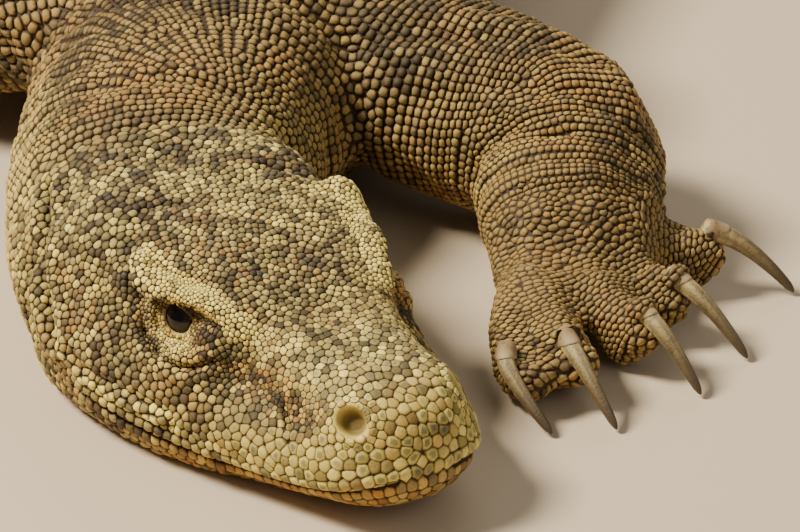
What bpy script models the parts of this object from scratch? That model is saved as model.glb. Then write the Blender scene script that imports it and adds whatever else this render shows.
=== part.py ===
"""Komodo dragon lying at rest with its chin on the floor, as a life-size museum model.

The flesh is modelled whole: lofts along the backbone, the limbs and the digits are fused into one
skin, settled on the floor, thinned to a light mesh and parted with thin cuts into named pieces.
Eyes and claws are solids of their own, seated in sockets. Metres, +Z up, snout towards -Y.
"""

import math

import bmesh
import bpy
import numpy as np
from mathutils import Matrix, Vector

# ---------------------------------------------------------------- driving dimensions (metres)
BODY_LENGTH = 2.50  # snout to tail tip along the backbone
HEAD_END = 0.205  # backbone distance where the head meets the neck
SHOULDER = 0.385  # backbone distance of the shoulder joints
HIP = 1.03  # backbone distance of the hip joints
VENT = 1.13  # backbone distance where the tail begins
SNOUT = (0.003, 0.0)  # where the backbone starts on the floor plan
EYE_RADIUS = 0.0090
EYE = (0.117, 0.0412, 0.0602)  # behind the snout, to the side, above the floor
CLAW_HALF_WIDTH = 0.0040
CLAW_HALF_HEIGHT = 0.0050
CLAW_TIP = 0.30  # size of a claw's blunt tip against its root
CLAW_TAPER = 0.62  # how late along its length a claw grows thin: lower is later
CLAW_BOW = (0.34, 0.12)  # how far a claw bows on from its toe, and upwards, as shares of its length
CLAW_SEAT = 0.006  # how deep a claw's root sits in its toe
GAP = 0.0004  # every cut between two pieces, and the play round eyes and claws

VOXEL = 0.004
SMOOTH_PASSES = 7
FLOOR_SINK = 0.0015  # flesh modelled this far below the floor is flattened on it
RING = 40  # points round a backbone section
LIMB_RING = 24
CLAW_RING = 8
CLAW_STATIONS = (0.0, 0.30, 0.60, 0.85, 1.0)

# Triangles left by thinning, for each kind of surface.
HEAD_TRIANGLES = 1560
HAND_TRIANGLES = 430
BODY_TRIANGLES = 1750

# Backbone distance, and the way the backbone runs there in degrees: 0 is straight back, + is towards -X.
HEADINGS = (
    (0.000, 34), (0.155, 34), (0.200, 20), (0.240, 0), (0.280, -12), (0.330, -10), (0.400, -1),
    (0.600, 4), (0.800, -3), (1.000, -14), (1.200, -28), (1.450, -26), (1.700, -2), (2.000, 28),
    (2.250, 46), (2.500, 52),
)

# Sections across the head: distance behind the snout, crown height, half width and height of the
# canthus (the edge between crown and cheek), half width and height of the widest place, underside.
HEAD_SECTIONS = (
    (0.0005, 0.037, 0.006, 0.034, 0.009, 0.028, 0.020),
    (0.0045, 0.045, 0.013, 0.041, 0.021, 0.028, 0.015),
    (0.0130, 0.053, 0.020, 0.047, 0.0315, 0.026, 0.010),
    (0.0280, 0.059, 0.026, 0.051, 0.0395, 0.024, 0.006),
    (0.0500, 0.063, 0.029, 0.054, 0.0460, 0.023, 0.003),
    (0.0750, 0.069, 0.034, 0.060, 0.0540, 0.023, 0.001),
    (0.1000, 0.078, 0.042, 0.069, 0.0612, 0.024, 0.000),
    (0.1200, 0.084, 0.047, 0.075, 0.0664, 0.026, 0.000),
    (0.1420, 0.088, 0.050, 0.078, 0.0708, 0.029, 0.000),
    (0.1650, 0.091, 0.051, 0.078, 0.0730, 0.034, 0.000),
    (0.1850, 0.094, 0.051, 0.080, 0.0730, 0.038, 0.000),
)

# Sections across neck, trunk and tail: backbone distance, half width, height of the widest place,
# top, underside. The canthus of the head fades into a plain oval here.
BODY_SECTIONS = (
    (0.210, 0.0680, 0.043, 0.097, 0.000),
    (0.240, 0.0650, 0.047, 0.101, 0.000),
    (0.280, 0.0685, 0.050, 0.106, 0.000),
    (0.330, 0.0760, 0.052, 0.114, 0.000),
    (0.385, 0.0900, 0.055, 0.126, 0.000),
    (0.460, 0.1160, 0.060, 0.144, 0.000),
    (0.560, 0.1440, 0.062, 0.160, 0.000),
    (0.680, 0.1580, 0.062, 0.168, 0.000),
    (0.800, 0.1560, 0.062, 0.168, 0.000),
    (0.910, 0.1340, 0.062, 0.162, 0.000),
    (1.000, 0.1060, 0.062, 0.152, 0.000),
    (1.080, 0.0860, 0.058, 0.138, 0.000),
    (1.160, 0.0700, 0.052, 0.124, 0.000),
    (1.300, 0.0560, 0.046, 0.108, 0.000),
    (1.500, 0.0430, 0.038, 0.091, 0.000),
    (1.750, 0.0310, 0.030, 0.073, 0.000),
    (2.000, 0.0215, 0.023, 0.056, 0.000),
    (2.250, 0.0135, 0.016, 0.038, 0.000),
    (2.420, 0.0080, 0.010, 0.023, 0.000),
    (2.495, 0.0035, 0.005, 0.010, 0.000),
)

# Forms raised from (+) or sunk into (-) the head along its surface normal, on both sides:
# name, centre (behind snout, side, height), reach along each of those axes, how far.
HEAD_FORMS = (
    ("brow ridge, rear", (0.134, 0.051, 0.077), (0.016, 0.006, 0.006), 0.0056),
    ("brow ridge, middle", (0.110, 0.046, 0.072), (0.014, 0.006, 0.006), 0.0056),
    ("brow ridge, front", (0.088, 0.039, 0.065), (0.014, 0.006, 0.006), 0.0040),
    ("orbit", (0.118, 0.053, 0.060), (0.014, 0.013, 0.0095), -0.0080),
    ("canthal groove", (0.070, 0.044, 0.047), (0.026, 0.012, 0.008), -0.0028),
    ("pit in front of the eye", (0.097, 0.048, 0.056), (0.007, 0.008, 0.007), -0.0022),
    ("nostril swelling", (0.027, 0.028, 0.047), (0.011, 0.010, 0.010), 0.0026),
    ("lip swelling", (0.050, 0.050, 0.026), (0.045, 0.012, 0.008), 0.0012),
    ("cheek pad", (0.150, 0.072, 0.042), (0.026, 0.016, 0.020), 0.0030),
    ("jaw muscle", (0.172, 0.060, 0.075), (0.020, 0.022, 0.018), 0.0034),
    ("temple hollow", (0.150, 0.058, 0.072), (0.009, 0.012, 0.012), -0.0030),
    ("crown hollow", (0.085, 0.000, 0.076), (0.030, 0.014, 0.012), -0.0020),
    ("nape groove", (0.186, 0.000, 0.096), (0.012, 0.018, 0.014), -0.0030),
)
# The fold that closes the jowl off from the neck, as a groove right round the throat.
GULAR_FOLD = {"at": 0.199, "reach": 0.0050, "depth": 0.0060, "below": 0.084}

# One left forefoot, standing on its wrist at (0, 0): outwards, forwards and up. Each digit has a
# knuckle, a last joint, the place where the claw leaves the toe, and the claw's tip.
FOREFOOT = {
    1: ((-0.0285, 0.064, 0.031), (-0.0295, 0.088, 0.027), (-0.0305, 0.099, 0.0225), (-0.0115, 0.127, 0.0018)),
    2: ((-0.0145, 0.056, 0.037), (-0.0085, 0.082, 0.032), (-0.0045, 0.093, 0.0265), (0.0155, 0.123, 0.0018)),
    3: ((0.0035, 0.038, 0.039), (0.0175, 0.059, 0.034), (0.0275, 0.070, 0.0275), (0.0515, 0.093, 0.0018)),
    4: ((0.0185, 0.019, 0.039), (0.0320, 0.033, 0.034), (0.0425, 0.040, 0.0275), (0.0725, 0.061, 0.0018)),
    5: ((0.0325, -0.002, 0.036), (0.0495, -0.004, 0.033), (0.0605, -0.005, 0.0270), (0.0955, 0.001, 0.0018)),
}
# How far each toe's fleshy end leans the way its claw points, as a share of the claw's length.
TOE_LEAN = (0.36, 0.26, 0.20, 0.16, 0.10)
# How far outwards each toe's flesh lies from the line of its claw.
TOE_SIDE = (0.0070, 0.0045, 0.0025, 0.0010, 0.0)
# How far the middle of each toe lies under its knuckle, last joint and end, and its half sizes from root to end.
TOE_DROPS = (0.013, 0.0125, 0.0080)
TOE_SIZES = ((0.015, 0.015), (0.0125, 0.0135), (0.0118, 0.0125), (0.0102, 0.0112))
TOE_ROOT_HEIGHT = 0.024
TOE_RING = 16
PAD_SIZE = (0.0118, 0.0118, 0.0113)
PAD_HEIGHT = 0.0105
# The palm or sole: half sizes at the wrist, in the middle and at the knuckles, and its heights there.
PALM_SIZES = ((0.034, 0.027), (0.038, 0.022), (0.031, 0.017))
PALM_HEIGHTS = (0.030, 0.024, 0.020)
# One left hind foot in the same terms: the fourth toe is by far the longest.
HINDFOOT = {
    1: ((-0.020, 0.040, 0.028), (-0.026, 0.058, 0.025), (-0.029, 0.067, 0.0215), (-0.030, 0.096, 0.0018)),
    2: ((-0.010, 0.055, 0.031), (-0.010, 0.082, 0.027), (-0.009, 0.092, 0.0230), (-0.006, 0.122, 0.0018)),
    3: ((0.005, 0.060, 0.033), (0.012, 0.095, 0.028), (0.015, 0.106, 0.0240), (0.024, 0.136, 0.0018)),
    4: ((0.020, 0.056, 0.033), (0.038, 0.098, 0.028), (0.044, 0.110, 0.0240), (0.060, 0.137, 0.0018)),
    5: ((0.030, 0.022, 0.028), (0.052, 0.044, 0.025), (0.061, 0.051, 0.0215), (0.086, 0.065, 0.0018)),
}

# Limbs: joint places on the floor plan and their heights, radii at them (across, up), the turn of the
# foot in degrees from straight forwards (outwards is +), and which digits and size it carries.
# The cuts part it into upper limb, lower limb and foot: after which joint, how far on, half the cut's size.
FORE_RADII = ((0.050, 0.048), (0.046, 0.044), (0.0456, 0.044), (0.0400, 0.0300))
HIND_RADII = ((0.072, 0.066), (0.064, 0.060), (0.049, 0.048), (0.034, 0.030))
FORE_CUTS = (("upper", 1, 0.57, 0.062), ("lower", 2, 0.0, 0.068), ("foot", 2, 0.62, 0.058))
HIND_CUTS = (("upper", 1, 0.40, 0.085), ("lower", 2, 0.0, 0.118), ("foot", 3, 0.0, 0.078))
FORELIMB = {"foot": FOREFOOT, "foot_scale": 1.0, "radii": FORE_RADII, "cuts": FORE_CUTS}
HINDLIMB = {"foot": HINDFOOT, "foot_scale": 1.22, "radii": HIND_RADII, "cuts": HIND_CUTS}
LIMBS = {
    "left_fore": {
        **FORELIMB, "side": 1, "foot_turn": 0.0,
        "joints": ((-0.070, 0.345, 0.064), (-0.004, 0.301, 0.055), (0.0545, 0.260, 0.046), (0.0615, 0.202, 0.031)),
    },
    "right_fore": {
        **FORELIMB, "side": -1, "foot_turn": 16.0,
        "joints": ((-0.132, 0.366, 0.070), (-0.200, 0.376, 0.062), (-0.276, 0.396, 0.046), (-0.300, 0.326, 0.031)),
    },
    "left_hind": {
        **HINDLIMB, "side": 1, "foot_turn": 60.0,
        "joints": ((0.000, 0.985, 0.082), (0.085, 0.930, 0.082), (0.168, 0.888, 0.074), (0.186, 1.012, 0.034)),
    },
    "right_hind": {
        **HINDLIMB, "side": -1, "foot_turn": 64.0,
        "joints": ((-0.140, 1.010, 0.082), (-0.225, 0.975, 0.082), (-0.309, 0.948, 0.074), (-0.312, 1.074, 0.034)),
    },
}
# Backbone distances of the cuts between the pieces of the trunk and tail.
SPINE_CUTS = (HEAD_END + 0.002, 0.330, 0.580, 0.860, VENT, 1.380, 1.640, 1.900, 2.180)
SPINE_PIECES = ("head", "neck", "chest", "belly", "pelvis", "tail_1", "tail_2", "tail_3", "tail_4", "tail_5")
# The mouth: height of the cut from the front of the lips to the corner of the jaw.
MOUTH = (
    (-0.012, 0.0190), (0.002, 0.0190), (0.025, 0.0155), (0.060, 0.0130), (0.100, 0.0140), (0.135, 0.0180),
    (0.150, 0.0200),
)
MOUTH_HALF_WIDTH = 0.11
# Where the head's own straight frame is read off the backbone, and the part of the plan that is the head's.
HEAD_READ = 0.08
HEAD_PLAN = {"past": 0.012, "half_width": 0.105, "back": 0.26}
HAND_REACH = 0.092
SLIVER = 8  # a body with fewer points is a shaving left by a cut

FLESH = {"color": (0.235, 0.190, 0.115, 1.0), "roughness": 0.78}
HORN = {"color": (0.130, 0.125, 0.090, 1.0), "roughness": 0.42}
EYEBALL = {"color": (0.012, 0.008, 0.006, 1.0), "roughness": 0.08}


# ---------------------------------------------------------------- helpers
def clear_scene():
    """Removes whatever the file holds."""
    for obj in list(bpy.data.objects):
        bpy.data.objects.remove(obj)


def collection(name):
    """A new collection in the scene."""
    made = bpy.data.collections.new(name)
    bpy.context.scene.collection.children.link(made)
    return made


def material(name, looks):
    """A plain material with the colour and roughness given."""
    made = bpy.data.materials.new(name)
    made.use_nodes = True
    shader = made.node_tree.nodes["Principled BSDF"]
    shader.inputs["Base Color"].default_value = looks["color"]
    shader.inputs["Roughness"].default_value = looks["roughness"]
    shader.inputs["Metallic"].default_value = 0.0
    return made


def smooth_table(table, at):
    """Columns of a table read at the places given, along a smooth curve through its rows."""
    rows = np.array(table, float)
    x, y = rows[:, 0], rows[:, 1:]
    slope = np.diff(y, axis=0) / np.diff(x)[:, None]
    tangent = np.vstack([slope[:1], (slope[1:] + slope[:-1]) / 2, slope[-1:]])
    at = np.clip(np.atleast_1d(at), x[0], x[-1])
    i = np.clip(np.searchsorted(x, at, side="right") - 1, 0, len(x) - 2)
    step = (x[i + 1] - x[i])[:, None]
    t = ((at - x[i]) / (x[i + 1] - x[i]))[:, None]
    return (
        (2 * t**3 - 3 * t**2 + 1) * y[i]
        + (t**3 - 2 * t**2 + t) * step * tangent[i]
        + (3 * t**2 - 2 * t**3) * y[i + 1]
        + (t**3 - t**2) * step * tangent[i + 1]
    )


class Backbone:
    """The curve that head, neck, trunk and tail follow over the floor."""

    STEP = 0.0025

    def __init__(self):
        self.s = np.arange(0, BODY_LENGTH + self.STEP, self.STEP)
        angle = np.radians(smooth_table(HEADINGS, self.s)[:, 0])
        way = np.stack([-np.sin(angle), np.cos(angle)], 1)
        self.place = np.vstack([[0, 0], np.cumsum(way[:-1] * self.STEP, axis=0)]) + SNOUT
        self.way = way

    def at(self, s):
        """Place on the floor and unit directions backwards and to the animal's left."""
        x, y = (np.interp(s, self.s, self.place[:, k]) for k in (0, 1))
        bx, by = (np.interp(s, self.s, self.way[:, k]) for k in (0, 1))
        back = Vector((float(bx), float(by), 0)).normalized()
        return Vector((float(x), float(y), 0)), back, Vector((back.y, -back.x, 0))

    def point(self, s, side, height):
        """A place given as distance behind the snout, to the left, and above the floor."""
        place, _, left = self.at(s)
        return place + left * side + Vector((0, 0, height))


def oval(control, count):
    """A closed smooth outline through control points of its right half, mirrored, as (side, height)."""
    half = np.array(control, float)
    loop = np.vstack([half, (half[-2:0:-1]) * (-1, 1)])
    n = len(loop)
    t = np.linspace(0, n, count, endpoint=False)
    i = np.floor(t).astype(int)
    f = (t - i)[:, None]
    a, b, c, d = (loop[(i + k) % n] for k in (-1, 0, 1, 2))
    return 0.5 * (2 * b + (c - a) * f + (2 * a - 5 * b + 4 * c - d) * f**2 + (3 * b - a - 3 * c + d) * f**3)


def loft(name, rings):
    """A closed mesh through rings of equally many points, capped at both ends."""
    mesh = bmesh.new()
    loops = [[mesh.verts.new(p) for p in ring] for ring in rings]
    for near, far in zip(loops, loops[1:]):
        for k in range(len(near)):
            n = (k + 1) % len(near)
            mesh.faces.new((near[k], near[n], far[n], far[k]))
    mesh.faces.new(loops[0][::-1])
    mesh.faces.new(loops[-1])
    bmesh.ops.recalc_face_normals(mesh, faces=mesh.faces)
    return new_object(name, mesh)


def new_object(name, mesh):
    """An object from an edit mesh, which is freed."""
    data = bpy.data.meshes.new(name)
    mesh.to_mesh(data)
    mesh.free()
    obj = bpy.data.objects.new(name, data)
    bpy.context.scene.collection.objects.link(obj)
    return obj


def round_ring(centre, along, half_width, half_height, count):
    """An upright oval ring round a limb, square to the way it runs."""
    along = along.normalized()
    side = along.cross(Vector((0, 0, 1))).normalized()
    up = side.cross(along)
    angles = (2 * math.pi * k / count for k in range(count))
    return [centre + side * (half_width * math.cos(a)) + up * (half_height * math.sin(a)) for a in angles]


def tube(name, points, radii, count, steps=6):
    """A limb, toe or claw: an oval tube on a smooth curve through its joints, with rounded ends."""
    knots = [[i, *p, *r] for i, (p, r) in enumerate(zip(points, radii))]
    reads = smooth_table(knots, np.linspace(0, len(points) - 1, steps * (len(points) - 1) + 1))
    places = [Vector(row[:3]) for row in reads]
    ways = [places[min(i + 1, len(places) - 1)] - places[max(i - 1, 0)] for i in range(len(places))]
    rings = []
    for place, way, row in zip(places, ways, reads):
        rings.append(round_ring(place, way, row[3], row[4], count))
    first, last = reads[0], reads[-1]
    for share in (0.55, 0.85):
        shrink = math.sqrt(1 - share**2)
        nose = places[-1] + ways[-1].normalized() * (last[4] * share)
        tail = places[0] - ways[0].normalized() * (first[4] * share)
        rings.append(round_ring(nose, ways[-1], last[3] * shrink, last[4] * shrink, count))
        rings.insert(0, round_ring(tail, ways[0], first[3] * shrink, first[4] * shrink, count))
    return loft(name, rings)


def evaluated_copy(obj, name):
    """A new plain mesh object with the object's modifiers applied. The old object is removed."""
    graph = bpy.context.evaluated_depsgraph_get()
    data = bpy.data.meshes.new_from_object(obj.evaluated_get(graph))
    made = bpy.data.objects.new(name, data)
    bpy.context.scene.collection.objects.link(made)
    bpy.data.objects.remove(obj)
    return made


def join(name, objects):
    """All the objects' meshes as one object."""
    mesh = bmesh.new()
    for obj in objects:
        mesh.from_mesh(obj.data)
        bpy.data.objects.remove(obj)
    return new_object(name, mesh)


def subtract(obj, cutter):
    """The object less the cutter, which is removed."""
    cut = obj.modifiers.new("cut", "BOOLEAN")
    cut.operation = "DIFFERENCE"
    cut.solver = "EXACT"
    cut.object = cutter
    name = obj.name
    made = evaluated_copy(obj, name)
    bpy.data.objects.remove(cutter)
    made.name = name
    return made


def loose_pieces(obj):
    """Splits an object into its separate bodies."""
    mesh = bmesh.new()
    mesh.from_mesh(obj.data)
    unseen = set(mesh.verts)
    pieces = []
    while unseen:
        found, edge = set(), [unseen.pop()]
        while edge:
            v = edge.pop()
            found.add(v)
            for e in v.link_edges:
                other = e.other_vert(v)
                if other in unseen:
                    unseen.remove(other)
                    edge.append(other)
        pieces.append(found)
    made = []
    for found in pieces:
        if len(found) < SLIVER:
            continue
        part = bmesh.new()
        index = {v: part.verts.new(v.co) for v in found}
        for face in {f for v in found for f in v.link_faces}:
            part.faces.new([index[v] for v in face.verts])
        made.append(new_object(obj.name + ".piece", part))
    mesh.free()
    bpy.data.objects.remove(obj)
    return made


def slab(centre, normal, half_across, half_up):
    """A thin upright box for cutting flesh square to a direction."""
    mesh = bmesh.new()
    bmesh.ops.create_cube(mesh, size=1.0)
    bmesh.ops.scale(mesh, vec=(GAP, 2 * half_across, 2 * half_up), verts=mesh.verts)
    obj = new_object("slab", mesh)
    turn = Vector(normal).to_track_quat("X", "Z").to_matrix().to_4x4()
    obj.data.transform(Matrix.Translation(centre) @ turn)
    return obj


# ---------------------------------------------------------------- flesh
def backbone_rings(spine):
    """Sections of head, neck, trunk and tail, from the snout to the tip of the tail."""
    rings = []
    head = np.concatenate([[0.0005, 0.002, 0.0045, 0.008], np.arange(0.013, 0.186, 0.006)])
    for s, (top, edge_w, edge_z, wide, wide_z, low) in zip(head, smooth_table(HEAD_SECTIONS, head)):
        control = [(0, top), (edge_w * 0.62, top * 0.97 + edge_z * 0.03), (edge_w, edge_z)]
        control += [(wide * 0.97, wide_z * 0.7 + edge_z * 0.3), (wide, wide_z)]
        jowl = min(max((s - 0.03) / 0.08, 0), 1)
        control += [(wide * (0.80 + 0.14 * jowl), low + (wide_z - low) * 0.35)]
        control += [(wide * (0.50 + 0.26 * jowl), low), (0, low - FLOOR_SINK)]
        rings.append([spine.point(s, side, height) for side, height in oval(control, RING)])
    body = np.concatenate([np.arange(0.210, 2.42, 0.02), [2.44, 2.46, 2.475, 2.4875, 2.495]])
    for s, (wide, wide_z, top, low) in zip(body, smooth_table(BODY_SECTIONS, body)):
        rise, drop = top - wide_z, wide_z - low
        control = [(0, top), (wide * 0.46, wide_z + rise * 0.90), (wide * 0.82, wide_z + rise * 0.56)]
        control += [(wide, wide_z), (wide * 0.90, low + drop * 0.42), (wide * 0.66, low), (0, low - FLOOR_SINK)]
        rings.append([spine.point(s, side, height) for side, height in oval(control, RING)])
    return rings


def foot_frame(limb):
    """Turns a foot's own (outwards, forwards, up) into the model's frame."""
    wrist = Vector(limb["joints"][-1])
    turn = math.radians(limb["foot_turn"]) * limb["side"]
    out = Vector((math.cos(turn), math.sin(turn), 0)) * limb["side"]
    front = Vector((math.sin(turn), -math.cos(turn), 0))
    scale = limb["foot_scale"]

    def place(p, high=1.0):
        outwards, forwards, up = p
        return Vector((wrist.x, wrist.y, 0)) + (out * outwards + front * forwards) * scale + Vector((0, 0, up * high))

    return place


def limb_tubes(name, limb):
    """The limb, its palm or sole, and its five toes with their pads, as overlapping solids."""
    joints = [Vector(p) for p in limb["joints"]]
    made = [tube(name, joints, limb["radii"], LIMB_RING)]
    place = foot_frame(limb)
    size = limb["foot_scale"]
    palm = [joints[-1]]
    for digits in ((1, 2, 3, 4, 5), (2, 3, 4)):
        palm.append(sum((place(limb["foot"][d][0]) for d in digits), Vector()) / len(digits))
    palm[1] = (palm[0] + palm[2]) / 2
    wrist, middle, knuckles = PALM_SIZES
    sizes = (wrist, (middle[0] * size, middle[1]), (knuckles[0] * size, knuckles[1]))
    for p, z in zip(palm, PALM_HEIGHTS):
        p.z = z
    made.append(tube(name + "_palm", palm, sizes, LIMB_RING))
    for digit, (knuckle, joint, root, tip) in limb["foot"].items():
        start = place(knuckle) * 0.55 + joints[-1] * 0.45
        start.z = TOE_ROOT_HEIGHT
        side = (place((TOE_SIDE[digit - 1], 0, 0)) - place((0, 0, 0))) / size
        chain = [start, place(knuckle) + side * 0.6, place(joint) + side, place(root) + side]
        lean = place(tip) - place(root)
        lean.z = 0
        chain[3] += lean * TOE_LEAN[digit - 1]
        for p, drop in zip(chain[1:], TOE_DROPS):
            p.z -= drop
        chain[3] = chain[2].lerp(chain[3], 0.72)
        made.append(tube(f"{name}_toe_{digit}", chain, TOE_SIZES, TOE_RING, steps=4))
        pad = chain[2].lerp(chain[3], 0.20)
        pad.z = PAD_HEIGHT
        made.append(ball(f"{name}_pad_{digit}", pad, PAD_SIZE))
    return made


def ball(name, centre, radii):
    """An ellipsoid."""
    mesh = bmesh.new()
    bmesh.ops.create_uvsphere(mesh, u_segments=20, v_segments=12, radius=1.0)
    bmesh.ops.scale(mesh, vec=radii, verts=mesh.verts)
    bmesh.ops.translate(mesh, vec=centre, verts=mesh.verts)
    return new_object(name, mesh)


def muscles(spine):
    """The masses that round off the joins of limbs and trunk."""
    return [
        ball("left_shoulder", spine.point(SHOULDER + 0.02, 0.070, 0.078), (0.050, 0.070, 0.050)),
        ball("right_shoulder", spine.point(SHOULDER + 0.02, -0.070, 0.078), (0.050, 0.070, 0.050)),
        ball("left_haunch", spine.point(HIP - 0.01, 0.070, 0.084), (0.062, 0.085, 0.062)),
        ball("right_haunch", spine.point(HIP - 0.01, -0.070, 0.084), (0.062, 0.085, 0.062)),
    ]


def fuse(objects):
    """One smooth closed skin round all the solids."""
    body = join("flesh", objects)
    remesh = body.modifiers.new("fuse", "REMESH")
    remesh.mode = "VOXEL"
    remesh.voxel_size = VOXEL
    smooth = body.modifiers.new("smooth", "SMOOTH")
    smooth.factor = 0.5
    smooth.iterations = SMOOTH_PASSES
    return evaluated_copy(body, "flesh")


def head_coordinates(spine, points):
    """Distances behind the snout, to the left and up, for points near the head."""
    _, back, left = spine.at(HEAD_READ)
    return np.stack([points[:, :2] @ np.array(back[:2]), points[:, :2] @ np.array(left[:2]), points[:, 2]], 1)


def sculpt_head(body, spine):
    """Raises brows, cheeks and nostrils, and sinks orbits and grooves, along the surface normals."""
    count = len(body.data.vertices)
    points = np.empty(count * 3)
    normals = np.empty(count * 3)
    body.data.vertices.foreach_get("co", points)
    body.data.vertices.foreach_get("normal", normals)
    points, normals = points.reshape(-1, 3), normals.reshape(-1, 3)
    place = head_coordinates(spine, points)
    near = place[:, 0] < HEAD_END + 0.03
    push = np.zeros(count)
    for _name, centre, reach, amount in HEAD_FORMS:
        folded = place * (1, 0, 1) + np.abs(place) * (0, 1, 0)
        push += amount * np.exp(-(((folded - centre) / reach) ** 2).sum(1)) * near
    fold = np.exp(-(((place[:, 0] - GULAR_FOLD["at"]) / GULAR_FOLD["reach"]) ** 2))
    low = np.clip((GULAR_FOLD["below"] - place[:, 2]) / 0.02, 0, 1)
    push -= GULAR_FOLD["depth"] * fold * low * near * (np.abs(place[:, 1]) < HEAD_PLAN["half_width"])
    body.data.vertices.foreach_set("co", (points + normals * push[:, None]).ravel())


def settle_on_floor(body):
    """Flattens what lies below the floor on it, so that the model rests on small flats at one level."""
    for v in body.data.vertices:
        if v.co.z < FLOOR_SINK * 0.7:
            v.co.z = 0.0


def select_kind(mesh, kind):
    """Selects the faces of one kind and returns how many triangles they make."""
    edit = bmesh.new()
    edit.from_mesh(mesh)
    layer = edit.faces.layers.int["kind"]
    chosen = 0
    for element in [*edit.faces, *edit.edges, *edit.verts]:
        element.select = False
    for face in edit.faces:
        if face[layer] == kind:
            face.select_set(True)
            chosen += len(face.verts) - 2
    edit.to_mesh(mesh)
    edit.free()
    return chosen


def thin(body, spine):
    """Thins the head, the feet and the rest to the triangles that each needs."""
    feet = [foot_frame(limb)(limb["foot"][3][1]) for limb in LIMBS.values()]
    bpy.context.view_layer.objects.active = body
    body.select_set(True)
    mesh = body.data
    centres = np.array([tuple(f.center) for f in mesh.polygons])
    behind, side, _ = head_coordinates(spine, centres).T
    head = (behind < HEAD_END + HEAD_PLAN["past"]) & (np.abs(side) < HEAD_PLAN["half_width"])
    kinds = np.zeros(len(centres), int)
    kinds[head & (centres[:, 1] < HEAD_PLAN["back"])] = 1
    for k, foot in enumerate(feet):
        kinds[np.linalg.norm(centres[:, :2] - np.array(foot[:2]), axis=1) < HAND_REACH] = 2 + k
    group = mesh.attributes.new("kind", "INT", "FACE")
    group.data.foreach_set("value", kinds)
    for kind in sorted(set(kinds.tolist())):
        wanted = {0: BODY_TRIANGLES, 1: HEAD_TRIANGLES}.get(kind, HAND_TRIANGLES)
        for _ in range(4):
            chosen = select_kind(mesh, kind)
            if chosen < wanted * 1.05:
                break
            bpy.ops.object.mode_set(mode="EDIT")
            bpy.ops.mesh.select_mode(type="FACE")
            bpy.ops.mesh.decimate(ratio=wanted / chosen)
            bpy.ops.object.mode_set(mode="OBJECT")
    settle_on_floor(body)
    triangulate = body.modifiers.new("triangulate", "TRIANGULATE")
    triangulate.quad_method = "BEAUTY"
    return evaluated_copy(body, "flesh")


# ---------------------------------------------------------------- claws and eyes
def claw(name, joint, root, tip, grow=0.0):
    """A claw that bows upwards from its seat in the toe to its tip on the floor."""
    chord = (tip - root).length
    way = (root - joint).normalized()
    high = root + way * (chord * CLAW_BOW[0]) + Vector((0, 0, chord * CLAW_BOW[1]))
    seat = root - way * (CLAW_SEAT + grow)
    rings = []
    for t in CLAW_STATIONS:
        place = root.lerp(high, t).lerp(high.lerp(tip, t), t)
        run = (high - root).lerp(tip - high, t)
        taper = CLAW_TIP + (1 - CLAW_TIP) * (1 - t) ** CLAW_TAPER
        width, height = CLAW_HALF_WIDTH * taper + grow, CLAW_HALF_HEIGHT * taper + grow
        if t == 0:
            rings.append(round_ring(seat, way, width * 0.96, height * 0.96, CLAW_RING))
        rings.append(round_ring(place, run, width, height, CLAW_RING))
    return loft(name, rings)


def claws_and_sockets():
    """Every claw, and a slightly larger copy of each to cut its seat."""
    made = []
    sockets = {name: [] for name in LIMBS}
    for name, limb in LIMBS.items():
        place = foot_frame(limb)
        for digit, (_knuckle, joint, root, tip) in limb["foot"].items():
            ends = (place(joint), place(root), place(tip))
            made.append(claw(f"{name}_claw_{digit}", *ends))
            sockets[name].append(claw("socket", *ends, grow=GAP))
    return made, sockets


def eyeball(name, spine, side, radius):
    """A ball in the orbit: side is 1 for the left and -1 for the right."""
    s, across, height = EYE
    mesh = bmesh.new()
    bmesh.ops.create_uvsphere(mesh, u_segments=12, v_segments=8, radius=radius)
    bmesh.ops.translate(mesh, vec=spine.point(s, across * side, height), verts=mesh.verts)
    return new_object(name, mesh)


# ---------------------------------------------------------------- parting
def limb_cut(limb, joint, along, half):
    """A cutting slab: part of the way between two joints, or right at a joint, half-way through its bend."""
    joints = [Vector(p) for p in limb["joints"]]
    joints.append(foot_frame(limb)(limb["foot"][3][2]))
    way = (joints[joint + 1] - joints[joint]).normalized()
    if along == 0:
        way += (joints[joint] - joints[joint - 1]).normalized()
    return slab(joints[joint].lerp(joints[joint + 1], along), way, half, half)


def part_limb(body, name, limb):
    """Cuts a limb off the body, and into upper limb, lower limb and foot."""
    ends = {"upper": Vector(limb["joints"][2]), "lower": Vector(limb["joints"][3])}
    ends["foot"] = foot_frame(limb)(limb["foot"][3][1])
    pieces = []
    rest = body
    inner = None
    for part, joint, along, half in limb["cuts"]:
        found = loose_pieces(subtract(rest, limb_cut(limb, joint, along, half)))
        if len(found) != 2:
            raise RuntimeError(f"{name}: the {part} cut left {len(found)} pieces")
        found.sort(key=lambda o: nearest_distance(o, ends[part]))
        rest = found[0]
        if inner is None:
            body = found[1]
        else:
            found[1].name = f"{name}_{inner}"
            pieces.append(found[1])
        inner = part
    rest.name = f"{name}_{inner}"
    return body, pieces + [rest]


def nearest_distance(obj, place):
    """How near the object's points come to a place."""
    return min((v.co - place).length for v in obj.data.vertices)


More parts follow.
